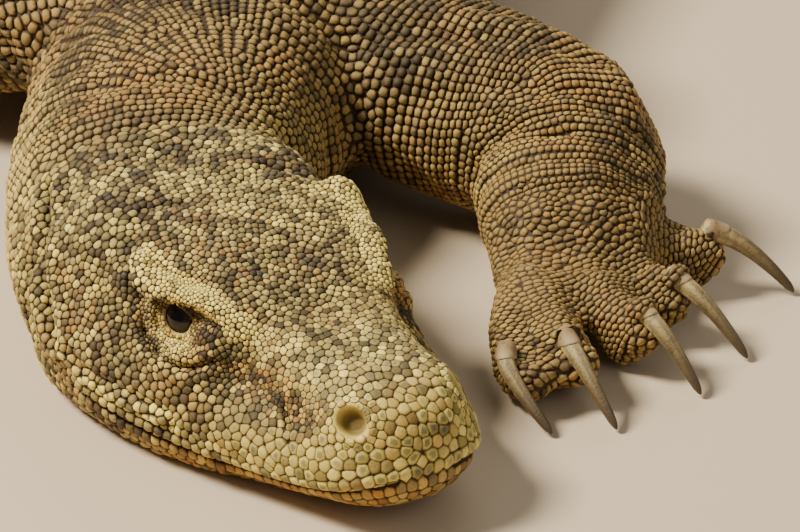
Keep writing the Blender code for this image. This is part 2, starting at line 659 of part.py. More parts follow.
def part_backbone(body, spine):
    """Cuts what is left of the body across the backbone into head, neck, trunk and tail pieces."""
    pieces = []
    for name, s in zip(SPINE_PIECES, SPINE_CUTS):
        place, back, _ = spine.at(s)
        half = float(smooth_table([(r[0], r[1]) for r in BODY_SECTIONS], s)[0, 0]) + 0.06
        cut = slab(place + Vector((0, 0, 0.10)), back, half, 0.16)
        found = loose_pieces(subtract(body, cut))
        if len(found) != 2:
            raise RuntimeError(f"the cut behind {name} left {len(found)} pieces")
        ahead = spine.at(max(s - 0.05, 0))[0]
        found.sort(key=lambda o: nearest_distance(o, ahead))
        found[0].name = name
        pieces.append(found[0])
        body = found[1]
    body.name = SPINE_PIECES[-1]
    return pieces + [body]


def part_jaw(head, spine):
    """Parts the lower jaw from the head along the mouth and down behind the jaw's corner."""
    corner, down = MOUTH[-1][0] + 0.001, -0.02
    lower = [(s, z - GAP / 2) for s, z in MOUTH] + [(corner - GAP / 2, down)]
    upper = [(s, z + GAP / 2) for s, z in MOUTH] + [(corner + GAP / 2, down)]
    outline = lower + upper[::-1]
    sides = (-MOUTH_HALF_WIDTH, MOUTH_HALF_WIDTH)
    rings = [[head_point(spine, s, side, z) for s, z in outline] for side in sides]
    found = loose_pieces(subtract(head, loft("mouth", rings)))
    if len(found) != 2:
        raise RuntimeError(f"the mouth cut left {len(found)} pieces")
    found.sort(key=lambda o: max(v.co.z for v in o.data.vertices))
    found[0].name = "lower_jaw"
    found[1].name = "head"
    return found


def head_point(spine, s, side, z):
    """A place in the head's straight frame, which also reaches ahead of the snout."""
    _, back, left = spine.at(HEAD_READ)
    return back * s + left * side + Vector((0, 0, z))


def cut_seats(pieces, sockets, spine):
    """Seats the claws in their feet and the eyes in the head."""
    done = []
    for piece in pieces:
        if piece.name.endswith("_foot"):
            for socket in sockets[piece.name[: -len("_foot")]]:
                piece = subtract(piece, socket)
        if piece.name == "head":
            for side in (-1, 1):
                piece = subtract(piece, eyeball("orbit", spine, side, EYE_RADIUS + GAP))
        done.append(piece)
    return done


def largest_only(obj):
    """Drops crumbs that a cut left beside the piece."""
    name = obj.name
    found = sorted(loose_pieces(obj), key=lambda o: len(o.data.vertices))
    for crumb in found[:-1]:
        bpy.data.objects.remove(crumb)
    found[-1].name = name
    return found[-1]


def recentre(objects):
    """Moves the model so that its box stands centred on the origin."""
    points = np.array([tuple(v.co) for o in objects for v in o.data.vertices])
    low, high = points.min(0), points.max(0)
    shift = Vector((-(low[0] + high[0]) / 2, -(low[1] + high[1]) / 2, -low[2]))
    for obj in objects:
        obj.data.transform(Matrix.Translation(shift))


def main():
    """Builds the model."""
    clear_scene()
    model = collection("komodo_dragon")
    spine = Backbone()
    solids = [loft("backbone", backbone_rings(spine))] + muscles(spine)
    for name, limb in LIMBS.items():
        solids += limb_tubes(name, limb)
    body = fuse(solids)
    sculpt_head(body, spine)
    settle_on_floor(body)
    body = thin(body, spine)
    claws, sockets = claws_and_sockets()
    flesh = []
    for name, limb in LIMBS.items():
        body, parts = part_limb(body, name, limb)
        flesh += parts
    flesh += part_backbone(body, spine)
    head = next(o for o in flesh if o.name == "head")
    flesh.remove(head)
    flesh += part_jaw(head, spine)
    flesh = [largest_only(o) for o in cut_seats(flesh, sockets, spine)]
    eyes = [eyeball("left_eye", spine, 1, EYE_RADIUS), eyeball("right_eye", spine, -1, EYE_RADIUS)]
    recentre(flesh + claws + eyes)
    finishes = (("scaly_hide", FLESH, flesh), ("claw_horn", HORN, claws), ("eyeball", EYEBALL, eyes))
    for kind, looks, objects in finishes:
        finish = material(kind, looks)
        for obj in objects:
            obj.data.materials.clear()
            obj.data.materials.append(finish)
            obj.data.shade_smooth()
            bpy.context.scene.collection.objects.unlink(obj)
            model.objects.link(obj)


main()
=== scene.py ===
"""The komodo dragon's looks: one skin over the flesh, scales over the skin, eyes, claws, floor and light.

The animal lies at rest on a plain floor, its head turned to its left. Metres, +Z up, snout towards -Y.
"""

import logging
import math
from dataclasses import dataclass, field
from enum import Enum
from functools import cached_property

import bpy
import numpy as np
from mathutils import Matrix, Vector
from mathutils.bvhtree import BVHTree
from mathutils.kdtree import KDTree


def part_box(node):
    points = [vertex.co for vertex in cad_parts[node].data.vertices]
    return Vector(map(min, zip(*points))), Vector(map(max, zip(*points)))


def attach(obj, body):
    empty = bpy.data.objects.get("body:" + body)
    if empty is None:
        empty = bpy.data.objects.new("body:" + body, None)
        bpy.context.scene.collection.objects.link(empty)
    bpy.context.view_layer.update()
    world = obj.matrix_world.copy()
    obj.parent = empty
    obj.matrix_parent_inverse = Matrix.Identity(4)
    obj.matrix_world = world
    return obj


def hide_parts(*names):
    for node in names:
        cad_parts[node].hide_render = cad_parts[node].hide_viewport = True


log = logging.getLogger("komodo")
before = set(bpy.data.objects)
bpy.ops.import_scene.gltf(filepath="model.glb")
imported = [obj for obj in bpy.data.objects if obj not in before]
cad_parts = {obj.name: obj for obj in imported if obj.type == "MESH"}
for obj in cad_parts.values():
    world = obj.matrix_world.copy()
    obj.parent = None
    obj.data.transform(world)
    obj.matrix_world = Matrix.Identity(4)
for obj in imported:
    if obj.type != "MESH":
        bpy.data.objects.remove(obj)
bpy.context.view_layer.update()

Array = np.ndarray
Chance = np.random.Generator
Spot = tuple[float, float, float]
FLOOR = 0.0
BODY = "root"
UP = np.array([0.0, 0.0, 1.0])
TURN = 2 * math.pi
FAR = 9.0  # a distance that nothing on the animal reaches


# ------------------------------------------------------------------ numbers and curves
def unit(v: Array) -> Array:
    """Vectors scaled to length one.

    Args:
        v: Vectors along the last axis.

    Returns:
        The same directions, each of length one.
    """
    return v / np.maximum(np.linalg.norm(v, axis=-1, keepdims=True), 1e-12)


def length(v: Array) -> Array:
    """Lengths of vectors along the last axis."""
    return np.linalg.norm(v, axis=-1)


def dot(a: Array, b: Array) -> Array:
    """Products of the vectors of two lists, one by one."""
    return np.einsum("ij,ij->i", a, b)


def smoothstep(low: float, high: float, x: Array) -> Array:
    """A soft step from 0 at low to 1 at high.

    Args:
        low: Where the step starts.
        high: Where it ends.
        x: Values to read.

    Returns:
        The step's height at each value.
    """
    t = np.clip((x - low) / (high - low), 0.0, 1.0)
    return t * t * (3 - 2 * t)


def bell(distance: Array, reach: float) -> Array:
    """A soft bump that is 1 at no distance and fades over its reach."""
    return np.exp(-((distance / reach) ** 2))


def through(rows: list[tuple[float, ...]], at: Array) -> Array:
    """Columns of a table read along a smooth curve through its rows.

    Args:
        rows: Rows that start with the place along the curve.
        at: Places to read.

    Returns:
        One row of values for each place.
    """
    table = np.array(rows, float)
    x, y = table[:, 0], table[:, 1:]
    slope = np.diff(y, axis=0) / np.diff(x)[:, None]
    tangent = np.vstack([slope[:1], (slope[1:] + slope[:-1]) / 2, slope[-1:]])
    at = np.clip(np.atleast_1d(np.asarray(at, float)), x[0], x[-1])
    i = np.clip(np.searchsorted(x, at, side="right") - 1, 0, len(x) - 2)
    step = (x[i + 1] - x[i])[:, None]
    t = ((at - x[i]) / (x[i + 1] - x[i]))[:, None]
    return (
        (2 * t**3 - 3 * t**2 + 1) * y[i]
        + (t**3 - 2 * t**2 + t) * step * tangent[i]
        + (3 * t**2 - 2 * t**3) * y[i + 1]
        + (t**3 - t**2) * step * tangent[i + 1]
    )


# Large primes that scatter the bits of a cell's numbers, of a seed and of the two mixed.
CELL_PRIMES = (73856093, 19349663, 83492791)
SEED_PRIME, MIX_PRIME = 2654435761, 1274126177
BITS_KEPT = 0xFFFFFF


def scrambled(cell: Array, seed: int) -> Array:
    """A fixed random number from 0 to 1 for each whole-number cell."""
    x, y, z = (cell[..., k].astype(np.int64) * prime for k, prime in enumerate(CELL_PRIMES))
    h = x ^ y ^ z ^ (seed * SEED_PRIME)
    h = (h ^ (h >> 13)) * MIX_PRIME
    h = h ^ (h >> 16)
    return (h & BITS_KEPT) / float(BITS_KEPT)


def cloud(points: Array, size: float, seed: int, octaves: int = 3) -> Array:
    """Smooth noise in space.

    Args:
        points: Places to read, in metres.
        size: Width of its largest blotches, in metres.
        seed: Which noise.
        octaves: How many finer copies are added.

    Returns:
        Values from about 0 to 1, with a middle of 0.5.
    """
    total = np.zeros(points.shape[:-1])
    weight, sum_of_weights = 1.0, 0.0
    for octave in range(octaves):
        grid = points / (size / 2**octave) + 100.0
        base = np.floor(grid)
        f = grid - base
        f = f * f * (3 - 2 * f)
        for corner in range(8):
            offset = np.array([corner & 1, (corner >> 1) & 1, corner >> 2], float)
            share = np.prod(np.where(offset > 0, f, 1 - f), axis=-1)
            total += weight * share * scrambled(base + offset, seed + octave)
        sum_of_weights += weight
        weight *= 0.5
    return total / sum_of_weights


# ------------------------------------------------------------------ where things are on the animal
@dataclass(frozen=True)
class Line:
    """A smooth line through the animal, such as its backbone or the bones of a limb.

    Attributes:
        points: Places along it.
        radii: The flesh's rough radius at each.
    """

    points: Array
    radii: Array

    # A long line is searched in strides first. Places are looked up in chunks, to spare memory.
    LONG = 64
    STRIDE = 8
    CHUNK = 20000

    @property
    def lengths(self) -> Array:
        """Distance along the line of each of its points."""
        steps = length(np.diff(self.points, axis=0))
        return np.concatenate([[0.0], np.cumsum(steps)])

    @property
    def ways(self) -> Array:
        """Unit direction of the line at each point."""
        return unit(np.gradient(self.points, axis=0))

    def nearest(self, places: Array) -> tuple[Array, Array, Array]:
        """Finds where places lie along the line.

        Args:
            places: Places to look up.

        Returns:
            Distance along the line, distance from it, and the index of the nearest point.
        """
        stride = self.STRIDE if len(self.points) > self.LONG else 1
        coarse = np.arange(0, len(self.points), stride)
        around = np.arange(-stride, stride + 1)
        index = np.empty(len(places), int)
        away = np.empty(len(places))
        for start in range(0, len(places), self.CHUNK):
            chunk = places[start : start + self.CHUNK]
            anchors = self.points[coarse]
            far = (chunk**2).sum(1)[:, None] - 2 * chunk @ anchors.T + (anchors**2).sum(1)[None]
            near = np.clip(coarse[far.argmin(1)][:, None] + around, 0, len(self.points) - 1)
            d = length(chunk[:, None] - self.points[near])
            best = d.argmin(1)
            rows = np.arange(len(chunk))
            index[start : start + self.CHUNK] = near[rows, best]
            away[start : start + self.CHUNK] = d[rows, best]
        return self.lengths[index], away, index


@dataclass(frozen=True)
class HeadFrame:
    """Directions of the head: places read as behind the snout, to the animal's left, and up.

    Attributes:
        eye_behind: How far the eyes lie behind the snout.
    """

    eye_behind: float = 0.117

    @cached_property
    def eyes(self) -> tuple[Array, Array]:
        """Centres of the left and the right eyeball."""
        centres = []
        for node in ("left_eye", "right_eye"):
            low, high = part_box(node)
            centres.append((np.array(low) + np.array(high)) / 2)
        return centres[0], centres[1]

    @cached_property
    def eye_radius(self) -> float:
        """Radius of the eyeball."""
        low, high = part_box("left_eye")
        return float((high[2] - low[2]) / 2)

    @cached_property
    def left(self) -> Array:
        """Unit direction to the animal's left."""
        left_eye, right_eye = self.eyes
        return unit((left_eye - right_eye) * np.array([1.0, 1.0, 0.0]))

    @cached_property
    def back(self) -> Array:
        """Unit direction from the snout backwards."""
        return np.array([-self.left[1], self.left[0], 0.0])

    @cached_property
    def snout(self) -> Array:
        """The point on the floor under the tip of the snout."""
        left_eye, right_eye = self.eyes
        middle = (left_eye + right_eye) / 2 - self.back * self.eye_behind
        return np.array([middle[0], middle[1], FLOOR])

    def read(self, places: Array) -> Array:
        """Places in the head's own terms.

        Args:
            places: Places in the row frame.

        Returns:
            Distance behind the snout, to the left, and height.
        """
        d = places - self.snout
        return np.stack([d @ self.back, d @ self.left, d[:, 2]], axis=1)

    def place(self, behind: float, side: float, height: float) -> Array:
        """A place in the row frame from the head's own terms."""
        return self.snout + self.back * behind + self.left * side + np.array([0.0, 0.0, height])


# The way the backbone runs, in degrees from straight back, at distances from the snout in metres.
HEADINGS = [
    (0.000, 34), (0.155, 34), (0.200, 20), (0.240, 0), (0.280, -12), (0.330, -10), (0.400, -1),
    (0.600, 4), (0.800, -3), (1.000, -14), (1.200, -28), (1.450, -26), (1.700, -2), (2.000, 28),
    (2.250, 46), (2.500, 52),
]
# Height of the middle of the body, and its rough radius, at distances from the snout.
GIRTH = [
    (0.000, 0.035, 0.03), (0.100, 0.040, 0.05), (0.205, 0.048, 0.07), (0.330, 0.057, 0.08),
    (0.560, 0.072, 0.13), (0.800, 0.078, 0.14), (1.000, 0.073, 0.10), (1.160, 0.061, 0.07),
    (1.500, 0.045, 0.043), (2.000, 0.028, 0.022), (2.420, 0.011, 0.008), (2.500, 0.005, 0.004),
]
# Limb joints from the point under the snout, which sits at this place in them.
LIMB_ORIGIN = (0.003, 0.0)
LIMB_JOINTS = {
    "left_fore": (
        (-0.070, 0.345, 0.064), (-0.004, 0.301, 0.055), (0.0545, 0.260, 0.046), (0.0615, 0.202, 0.031),
    ),
    "right_fore": (
        (-0.132, 0.366, 0.070), (-0.200, 0.376, 0.062), (-0.276, 0.396, 0.046), (-0.300, 0.326, 0.031),
    ),
    "left_hind": (
        (0.000, 0.985, 0.082), (0.085, 0.930, 0.082), (0.168, 0.888, 0.074), (0.186, 1.012, 0.034),
    ),
    "right_hind": (
        (-0.140, 1.010, 0.082), (-0.225, 0.975, 0.082), (-0.309, 0.948, 0.074), (-0.312, 1.074, 0.034),
    ),
}
LIMB_RADII = {"fore": (0.048, 0.045, 0.045, 0.035), "hind": (0.068, 0.062, 0.048, 0.032)}


@dataclass(frozen=True)
class Foot:
    """A foot's digits: knuckle, last joint, root and tip of the claw, as outwards, forwards and up.

    Attributes:
        digits: The four places of each digit, first to fifth.
        turn: Degrees it is turned outwards from straight forwards.
        scale: Size against the places given.
    """

    digits: tuple[tuple[Spot, ...], ...]
    turn: float
    scale: float


@dataclass(frozen=True)
class Digit:
    """Where one digit ends in its claw.

    Attributes:
        foot: The foot it belongs to.
        number: Its number, from 1.
        joint: Its last joint.
        root: Where the claw leaves the flesh.
        tip: The claw's tip.
        scale: The foot's size.
    """

    foot: str
    number: int
    joint: Array
    root: Array
    tip: Array
    scale: float


FORE_DIGITS = (
    ((-0.0285, 0.064, 0.031), (-0.0295, 0.088, 0.027), (-0.0305, 0.099, 0.0225), (-0.0115, 0.127, 0.0018)),
    ((-0.0145, 0.056, 0.037), (-0.0085, 0.082, 0.032), (-0.0045, 0.093, 0.0265), (0.0155, 0.123, 0.0018)),
    ((0.0035, 0.038, 0.039), (0.0175, 0.059, 0.034), (0.0275, 0.070, 0.0275), (0.0515, 0.093, 0.0018)),
    ((0.0185, 0.019, 0.039), (0.0320, 0.033, 0.034), (0.0425, 0.040, 0.0275), (0.0725, 0.061, 0.0018)),
    ((0.0325, -0.002, 0.036), (0.0495, -0.004, 0.033), (0.0605, -0.005, 0.0270), (0.0955, 0.001, 0.0018)),
)
HIND_DIGITS = (
    ((-0.020, 0.040, 0.028), (-0.026, 0.058, 0.025), (-0.029, 0.067, 0.0215), (-0.030, 0.096, 0.0018)),
    ((-0.010, 0.055, 0.031), (-0.010, 0.082, 0.027), (-0.009, 0.092, 0.0230), (-0.006, 0.122, 0.0018)),
    ((0.005, 0.060, 0.033), (0.012, 0.095, 0.028), (0.015, 0.106, 0.0240), (0.024, 0.136, 0.0018)),
    ((0.020, 0.056, 0.033), (0.038, 0.098, 0.028), (0.044, 0.110, 0.0240), (0.060, 0.137, 0.0018)),
    ((0.030, 0.022, 0.028), (0.052, 0.044, 0.025), (0.061, 0.051, 0.0215), (0.086, 0.065, 0.0018)),
)
FEET = {
    "left_fore": Foot(FORE_DIGITS, 0.0, 1.0),
    "right_fore": Foot(FORE_DIGITS, 16.0, 1.0),
    "left_hind": Foot(HIND_DIGITS, 60.0, 1.22),
    "right_hind": Foot(HIND_DIGITS, 64.0, 1.22),
}


class Anatomy:
    """Where the head, backbone, limbs and digits lie."""

    LENGTH = 2.5  # of the backbone, from the snout
    STEP = 0.0025  # between its points
    NAPE = 0.206  # where the head ends, from the snout
    LIMB_POINTS, TOE_POINTS = 120, 50

    def __init__(self) -> None:
        """Works out every line of the animal from the frame."""
        self.head = HeadFrame()
        self.backbone = self._backbone()
        self.limbs = {name: self._limb(name) for name in LIMB_JOINTS}
        self.toes = {(name, digit): self._toe(name, digit) for name in FEET for digit in range(1, 6)}
        self.rays = {key: self._ray(*key) for key in self.toes}
        self.digits = [
            Digit(name, number, *(self.in_foot(name, p) for p in places[1:]), foot.scale)
            for name, foot in FEET.items()
            for number, places in enumerate(foot.digits, 1)
        ]

    def _backbone(self) -> Line:
        """The line from snout to tail tip."""
        s = np.arange(0, self.LENGTH + self.STEP, self.STEP)
        angle = np.radians(through(HEADINGS, s)[:, 0])
        way = np.stack([-np.sin(angle), np.cos(angle)], 1)
        plan = np.vstack([[0.0, 0.0], np.cumsum(way[:-1] * self.STEP, axis=0)]) + self.head.snout[:2]
        girth = through(GIRTH, s)
        return Line(np.column_stack([plan, girth[:, 0]]), girth[:, 1])

    def at_limb(self, p: Spot) -> Array:
        """A place of the limbs' plan in the row frame."""
        origin = np.array([*LIMB_ORIGIN, 0.0])
        return np.array(p) - origin + self.head.snout

    def _limb(self, name: str) -> Line:
        """The line from shoulder or hip to wrist or ankle."""
        joints = [self.at_limb(p) for p in LIMB_JOINTS[name]]
        radii = LIMB_RADII[name.split("_")[1]]
        rows = [(i, *p, r) for i, (p, r) in enumerate(zip(joints, radii))]
        read = through(rows, np.linspace(0, 3, self.LIMB_POINTS))
        return Line(read[:, :3], read[:, 3])

    def in_foot(self, name: str, p: Spot) -> Array:
        """A place of a foot's digits in the row frame."""
        foot = FEET[name]
        side = 1.0 if name.startswith("left") else -1.0
        turn = math.radians(foot.turn) * side
        out = np.array([math.cos(turn), math.sin(turn), 0.0]) * side
        front = np.array([math.sin(turn), -math.cos(turn), 0.0])
        wrist = self.at_limb(LIMB_JOINTS[name][3])
        flat = wrist + (out * p[0] + front * p[1]) * foot.scale
        return np.array([flat[0], flat[1], FLOOR + p[2]])

    def _toe(self, name: str, digit: int) -> Line:
        """The line of one digit, from the wrist to its claw."""
        knuckle, joint, root = (self.in_foot(name, p) for p in FEET[name].digits[digit - 1][:3])
        wrist = self.at_limb(LIMB_JOINTS[name][3])
        rows = [(0, *(wrist * 0.5 + knuckle * 0.5)), (1, *knuckle), (2, *joint), (3, *root)]
        read = through(rows, np.linspace(0, 3, self.TOE_POINTS))
        lowered = read - np.array([0.0, 0.0, 0.009])
        return Line(lowered, np.full(self.TOE_POINTS, 0.012))

    def beside_head(self, places: Array) -> Array:
        """Whether places lie too far out to be on the head, as the hand next to it does."""
        h = self.head.read(places)
        return np.abs(h[:, 1]) > 0.052 + 0.19 * np.maximum(h[:, 0], 0)

    def past_nape(self, places: Array) -> Array:
        """Distance from the snout less that of the nape, whose line wanders over the hide."""
        s, _, _ = self.backbone.nearest(places)
        return s - self.NAPE + 0.030 * (cloud(places, 0.022, 71) - 0.5)

    def _ray(self, name: str, digit: int) -> Line:
        """The line from the wrist through a digit, which the bands of its scales cross."""
        toe = self.toes[(name, digit)]
        wrist = self.at_limb(LIMB_JOINTS[name][3]) - np.array([0.0, 0.0, 0.006])
        run = np.linspace(wrist, toe.points[0], 16)[:-1]
        return Line(np.vstack([run, toe.points]), np.full(len(run) + len(toe.points), 0.016))


# ------------------------------------------------------------------ meshes
Items = bpy.types.bpy_prop_collection


def read_mesh(items: Items, name: str, kind: type = float, width: int = 1) -> Array:
    """One property of all vertices, edges, corners or faces of a mesh.

    Args:
        items: The mesh's vertices, edges, loops, loop triangles or polygons.
        name: The property.
        kind: Type of its numbers.
        width: How many numbers each item has.

    Returns:
        The numbers, in rows where an item has several.
    """
    values = np.empty(len(items) * width, kind)
    items.foreach_get(name, values)
    return values.reshape(-1, width) if width > 1 else values


def write_mesh(items: Items, name: str, values: Array, kind: type = np.float32) -> None:
    """Sets one property of all vertices, edges, corners or faces of a mesh."""
    items.foreach_set(name, np.ascontiguousarray(values, kind).ravel())


@dataclass
class Surface:
    """Points and faces, with normals, that later stages read.

    Attributes:
        points: Vertices.
        faces: Vertex indices of each triangle.
        normals: One for each vertex.
    """

    points: Array
    faces: Array
    normals: Array
    tree: BVHTree = field(init=False)

    def __post_init__(self) -> None:
        """Builds the search tree."""
        self.tree = BVHTree.FromPolygons(self.points.tolist(), self.faces.tolist())

    @staticmethod
    def of(obj: bpy.types.Object) -> "Surface":
        """Reads an object's mesh as triangles."""
        mesh = obj.data
        mesh.calc_loop_triangles()
        points = read_mesh(mesh.vertices, "co", width=3)
        faces = read_mesh(mesh.loop_triangles, "vertices", np.int32, 3)
        return Surface(points, faces, read_mesh(mesh.vertices, "normal", width=3))

    def drop(self, places: Array) -> tuple[Array, Array, Array]:
        """Moves places to the nearest points of the surface.

        Args:
            places: Places near the surface.

        Returns:
            Points on the surface, smooth normals there, and the face of each.
        """
        hits = [self.tree.find_nearest(p) for p in places.tolist()]
        points = np.array([tuple(h[0]) for h in hits])
        face = np.array([h[2] for h in hits])
        return points, self.smooth_normals(points, face), face

    def smooth_normals(self, points: Array, face: Array) -> Array:
        """Vertex normals blended over the faces that the points lie on."""
        a, b, c = (self.points[self.faces[face, k]] for k in range(3))
        area = length(np.cross(b - a, c - a)) + 1e-15
        wa = length(np.cross(b - points, c - points)) / area
        wb = length(np.cross(c - points, a - points)) / area
        wc = np.clip(1 - wa - wb, 0, 1)
        na, nb, nc = (self.normals[self.faces[face, k]] for k in range(3))
        return unit(na * wa[:, None] + nb * wb[:, None] + nc * wc[:, None])

    def sprinkle(self, count: int, rng: Chance, weight: Array) -> tuple[Array, Array]:
        """Random points, as many on each face as its area times its weight asks.

        Args:
            count: How many points.
            rng: Source of chance.
            weight: One number for each face.

        Returns:
            The points and the face of each.
        """
        a, b, c = (self.points[self.faces[:, k]] for k in range(3))
        share = length(np.cross(b - a, c - a)) * weight
        total = np.cumsum(share)
        pick = np.searchsorted(total, rng.random(count) * total[-1])
        pick = np.clip(pick, 0, len(share) - 1)
        u, v = rng.random(count), rng.random(count)
        flip = u + v > 1
        u, v = np.where(flip, 1 - u, u), np.where(flip, 1 - v, v)
        return a[pick] + (b[pick] - a[pick]) * u[:, None] + (c[pick] - a[pick]) * v[:, None], pick


def deselect() -> None:
    """Leaves nothing selected."""
    for obj in bpy.context.selected_objects:
        obj.select_set(False)


def choose(obj: bpy.types.Object) -> None:
    """Makes an object active and the only one selected."""
    deselect()
    bpy.context.view_layer.objects.active = obj
    obj.select_set(True)


def apply_modifiers(obj: bpy.types.Object) -> None:
    """Applies an object's modifiers in order."""
    choose(obj)
    for modifier in list(obj.modifiers):
        bpy.ops.object.modifier_apply(modifier=modifier.name)
    deselect()


def smooth(obj: bpy.types.Object) -> None:
    """Shades an object smooth."""
    choose(obj)
    bpy.ops.object.shade_smooth()
    deselect()


def kd_tree(points: Array) -> KDTree:
    """A tree that finds the nearest of some points."""
    tree = KDTree(len(points))
    for i, p in enumerate(points.tolist()):
        tree.insert(p, i)
    tree.balance()
    return tree


def tube_walls(sides: int, rings: int) -> list[Array]:
    """Triangles between rings of vertices that follow one another.

    Args:
        sides: Vertices in each ring.
        rings: How many rings.

    Returns:
        Vertex indices of the triangles, in a few arrays.
    """
    ring = np.arange(sides)
    nxt = np.roll(ring, -1)
    faces = []
    for level in range(rings - 1):
        a, b = level * sides, (level + 1) * sides
        faces.append(np.stack([a + ring, a + nxt, b + nxt], 1))
        faces.append(np.stack([a + ring, b + nxt, b + ring], 1))
    return faces


def mesh_object(name: str, points: Array, faces: list | Array) -> bpy.types.Object:
    """A new object from points and faces.

    Args:
        name: Its name.
        points: Vertices in the row frame.
        faces: Vertex indices of each face, all with equally many corners.

    Returns:
        The object, linked to the scene.
    """
    mesh = bpy.data.meshes.new(name)
    faces = np.asarray(faces)
    corners = faces.shape[1]
    mesh.vertices.add(len(points))
    write_mesh(mesh.vertices, "co", points)
    mesh.loops.add(faces.size)
    write_mesh(mesh.loops, "vertex_index", faces, np.int32)
    mesh.polygons.add(len(faces))
    write_mesh(mesh.polygons, "loop_start", np.arange(0, faces.size, corners), np.int32)
    mesh.update(calc_edges=True)
    mesh.validate()
    obj = bpy.data.objects.new(name, mesh)
    bpy.context.scene.collection.objects.link(obj)
    return obj


def set_attribute(obj: bpy.types.Object, name: str, values: Array) -> None:
    """Stores one number for each vertex."""
    layer = obj.data.attributes.new(name, "FLOAT", "POINT")
    write_mesh(layer.data, "value", values)


# ------------------------------------------------------------------ markings and painted shade shared by skin and scales
# Distance behind the snout, and height of the closed mouth there.
MOUTH = (
    (-0.012, 0.0262), (0.002, 0.0262), (0.0075, 0.0245), (0.0225, 0.0190), (0.050, 0.0140), (0.100, 0.0145),
    (0.135, 0.0180), (0.158, 0.0215),
)


def mouth_height(behind: Array) -> Array:
    """Height of the closed mouth at distances behind the snout."""
    return through(MOUTH, behind)[:, 0]


def off_stretch(h: Array, start: Spot, end: Spot) -> Array:
    """How places lie off the nearest point of a straight stretch, as vectors."""
    a, b = np.array(start), np.array(end)
    t = np.clip((h - a) @ (b - a) / ((b - a) @ (b - a)), 0, 1)
    return h - a - t[:, None] * (b - a)


